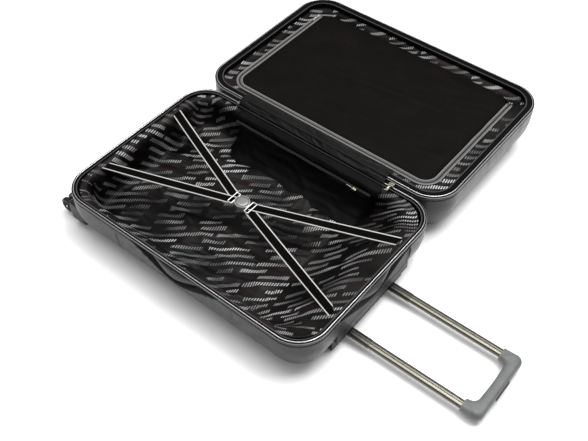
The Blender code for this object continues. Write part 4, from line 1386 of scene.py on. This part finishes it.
def add_caster(prefix, y):
    axle_x, axle_z = -0.3785, 0.0320
    for side, offset in (("a", -0.0098), ("b", 0.0098)):
        add_wheel(prefix + "_wheel_" + side, (axle_x, y + offset, axle_z))
    fork = prefix + "_fork"
    cap = (
        (0.0010, -0.3572), (0.0130, -0.3573), (0.0176, -0.3570), (0.0189, -0.3560), (0.0190, -0.3535),
        (0.0184, -0.3512), (0.0010, -0.3510),
    )
    stand_for(lathe(prefix + "_swivel_cap", cap, (0.0, y, 0.0500), "X", "hub", 40), fork, fork)
    middle_x, middle_z = -0.3690, 0.0455
    plan = (
        (-0.3560, 0.0655), (-0.3660, 0.0648), (-0.3760, 0.0590), (-0.3830, 0.0500), (-0.3862, 0.0400),
        (-0.3850, 0.0290), (-0.3790, 0.0255), (-0.3720, 0.0270), (-0.3640, 0.0340), (-0.3560, 0.0360),
    )
    rings = [
        [(middle_x + (x - middle_x) * grow, y + side, middle_z + (z - middle_z) * grow) for x, z in plan]
        for side, grow in ((-0.0035, 0.92), (-0.0026, 1.0), (0.0026, 1.0), (0.0035, 0.92))
    ]
    stand_for(smooth_by_angle(add_tube(prefix + "_web", rings, "black", smooth=False), 35), fork)
    pin = ((0.0004, 0.0172), (0.0028, 0.0171), (0.0031, 0.0164))
    axle = [(radius, -reach) for radius, reach in pin] + list(reversed(pin))
    stand_for(lathe(prefix + "_axle", axle, (axle_x, y, axle_z), "Y", "silver", 20), fork)


def add_casters():
    for home, middle in (("base", 0.0), ("lid", LID_Y)):
        for name, offset in (("_caster_near", -0.198), ("_caster_far", 0.198)):
            add_caster(home + name, middle + offset)
            dress(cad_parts[home + name + "_housing"], "housing")


def dress_trolley():
    dress(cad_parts["trolley_foot"], "black")
    for side in ("left", "right"):
        # The outer tubes take the same darker copy, as painted shade
        dress(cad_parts["trolley_outer_tube_" + side], "dark_aluminium")


# Main

make_looks()
add_camera()
add_studio()
add_shells()
add_rim("base", 0.0, BASE_DEPTH, 0.0095)
add_rim("lid", LID_Y, LID_DEPTH, 0.0180)
add_base_lining()
add_lid_lining()
add_lid_border()
add_divider_panel()
add_divider_zip()
add_sliders()
add_gusset()
add_zip_stop()
add_pocket()
add_pocket_back()
add_pocket_zip()
add_strap("left_far", -1, 1, 0)
add_strap("left_near", -1, -1, 1)
add_strap("right_far", 1, 1, 1)
add_strap("right_near", 1, -1, 0)
add_buckle()
add_trolley()
add_handles()
add_casters()
dress_trolley()
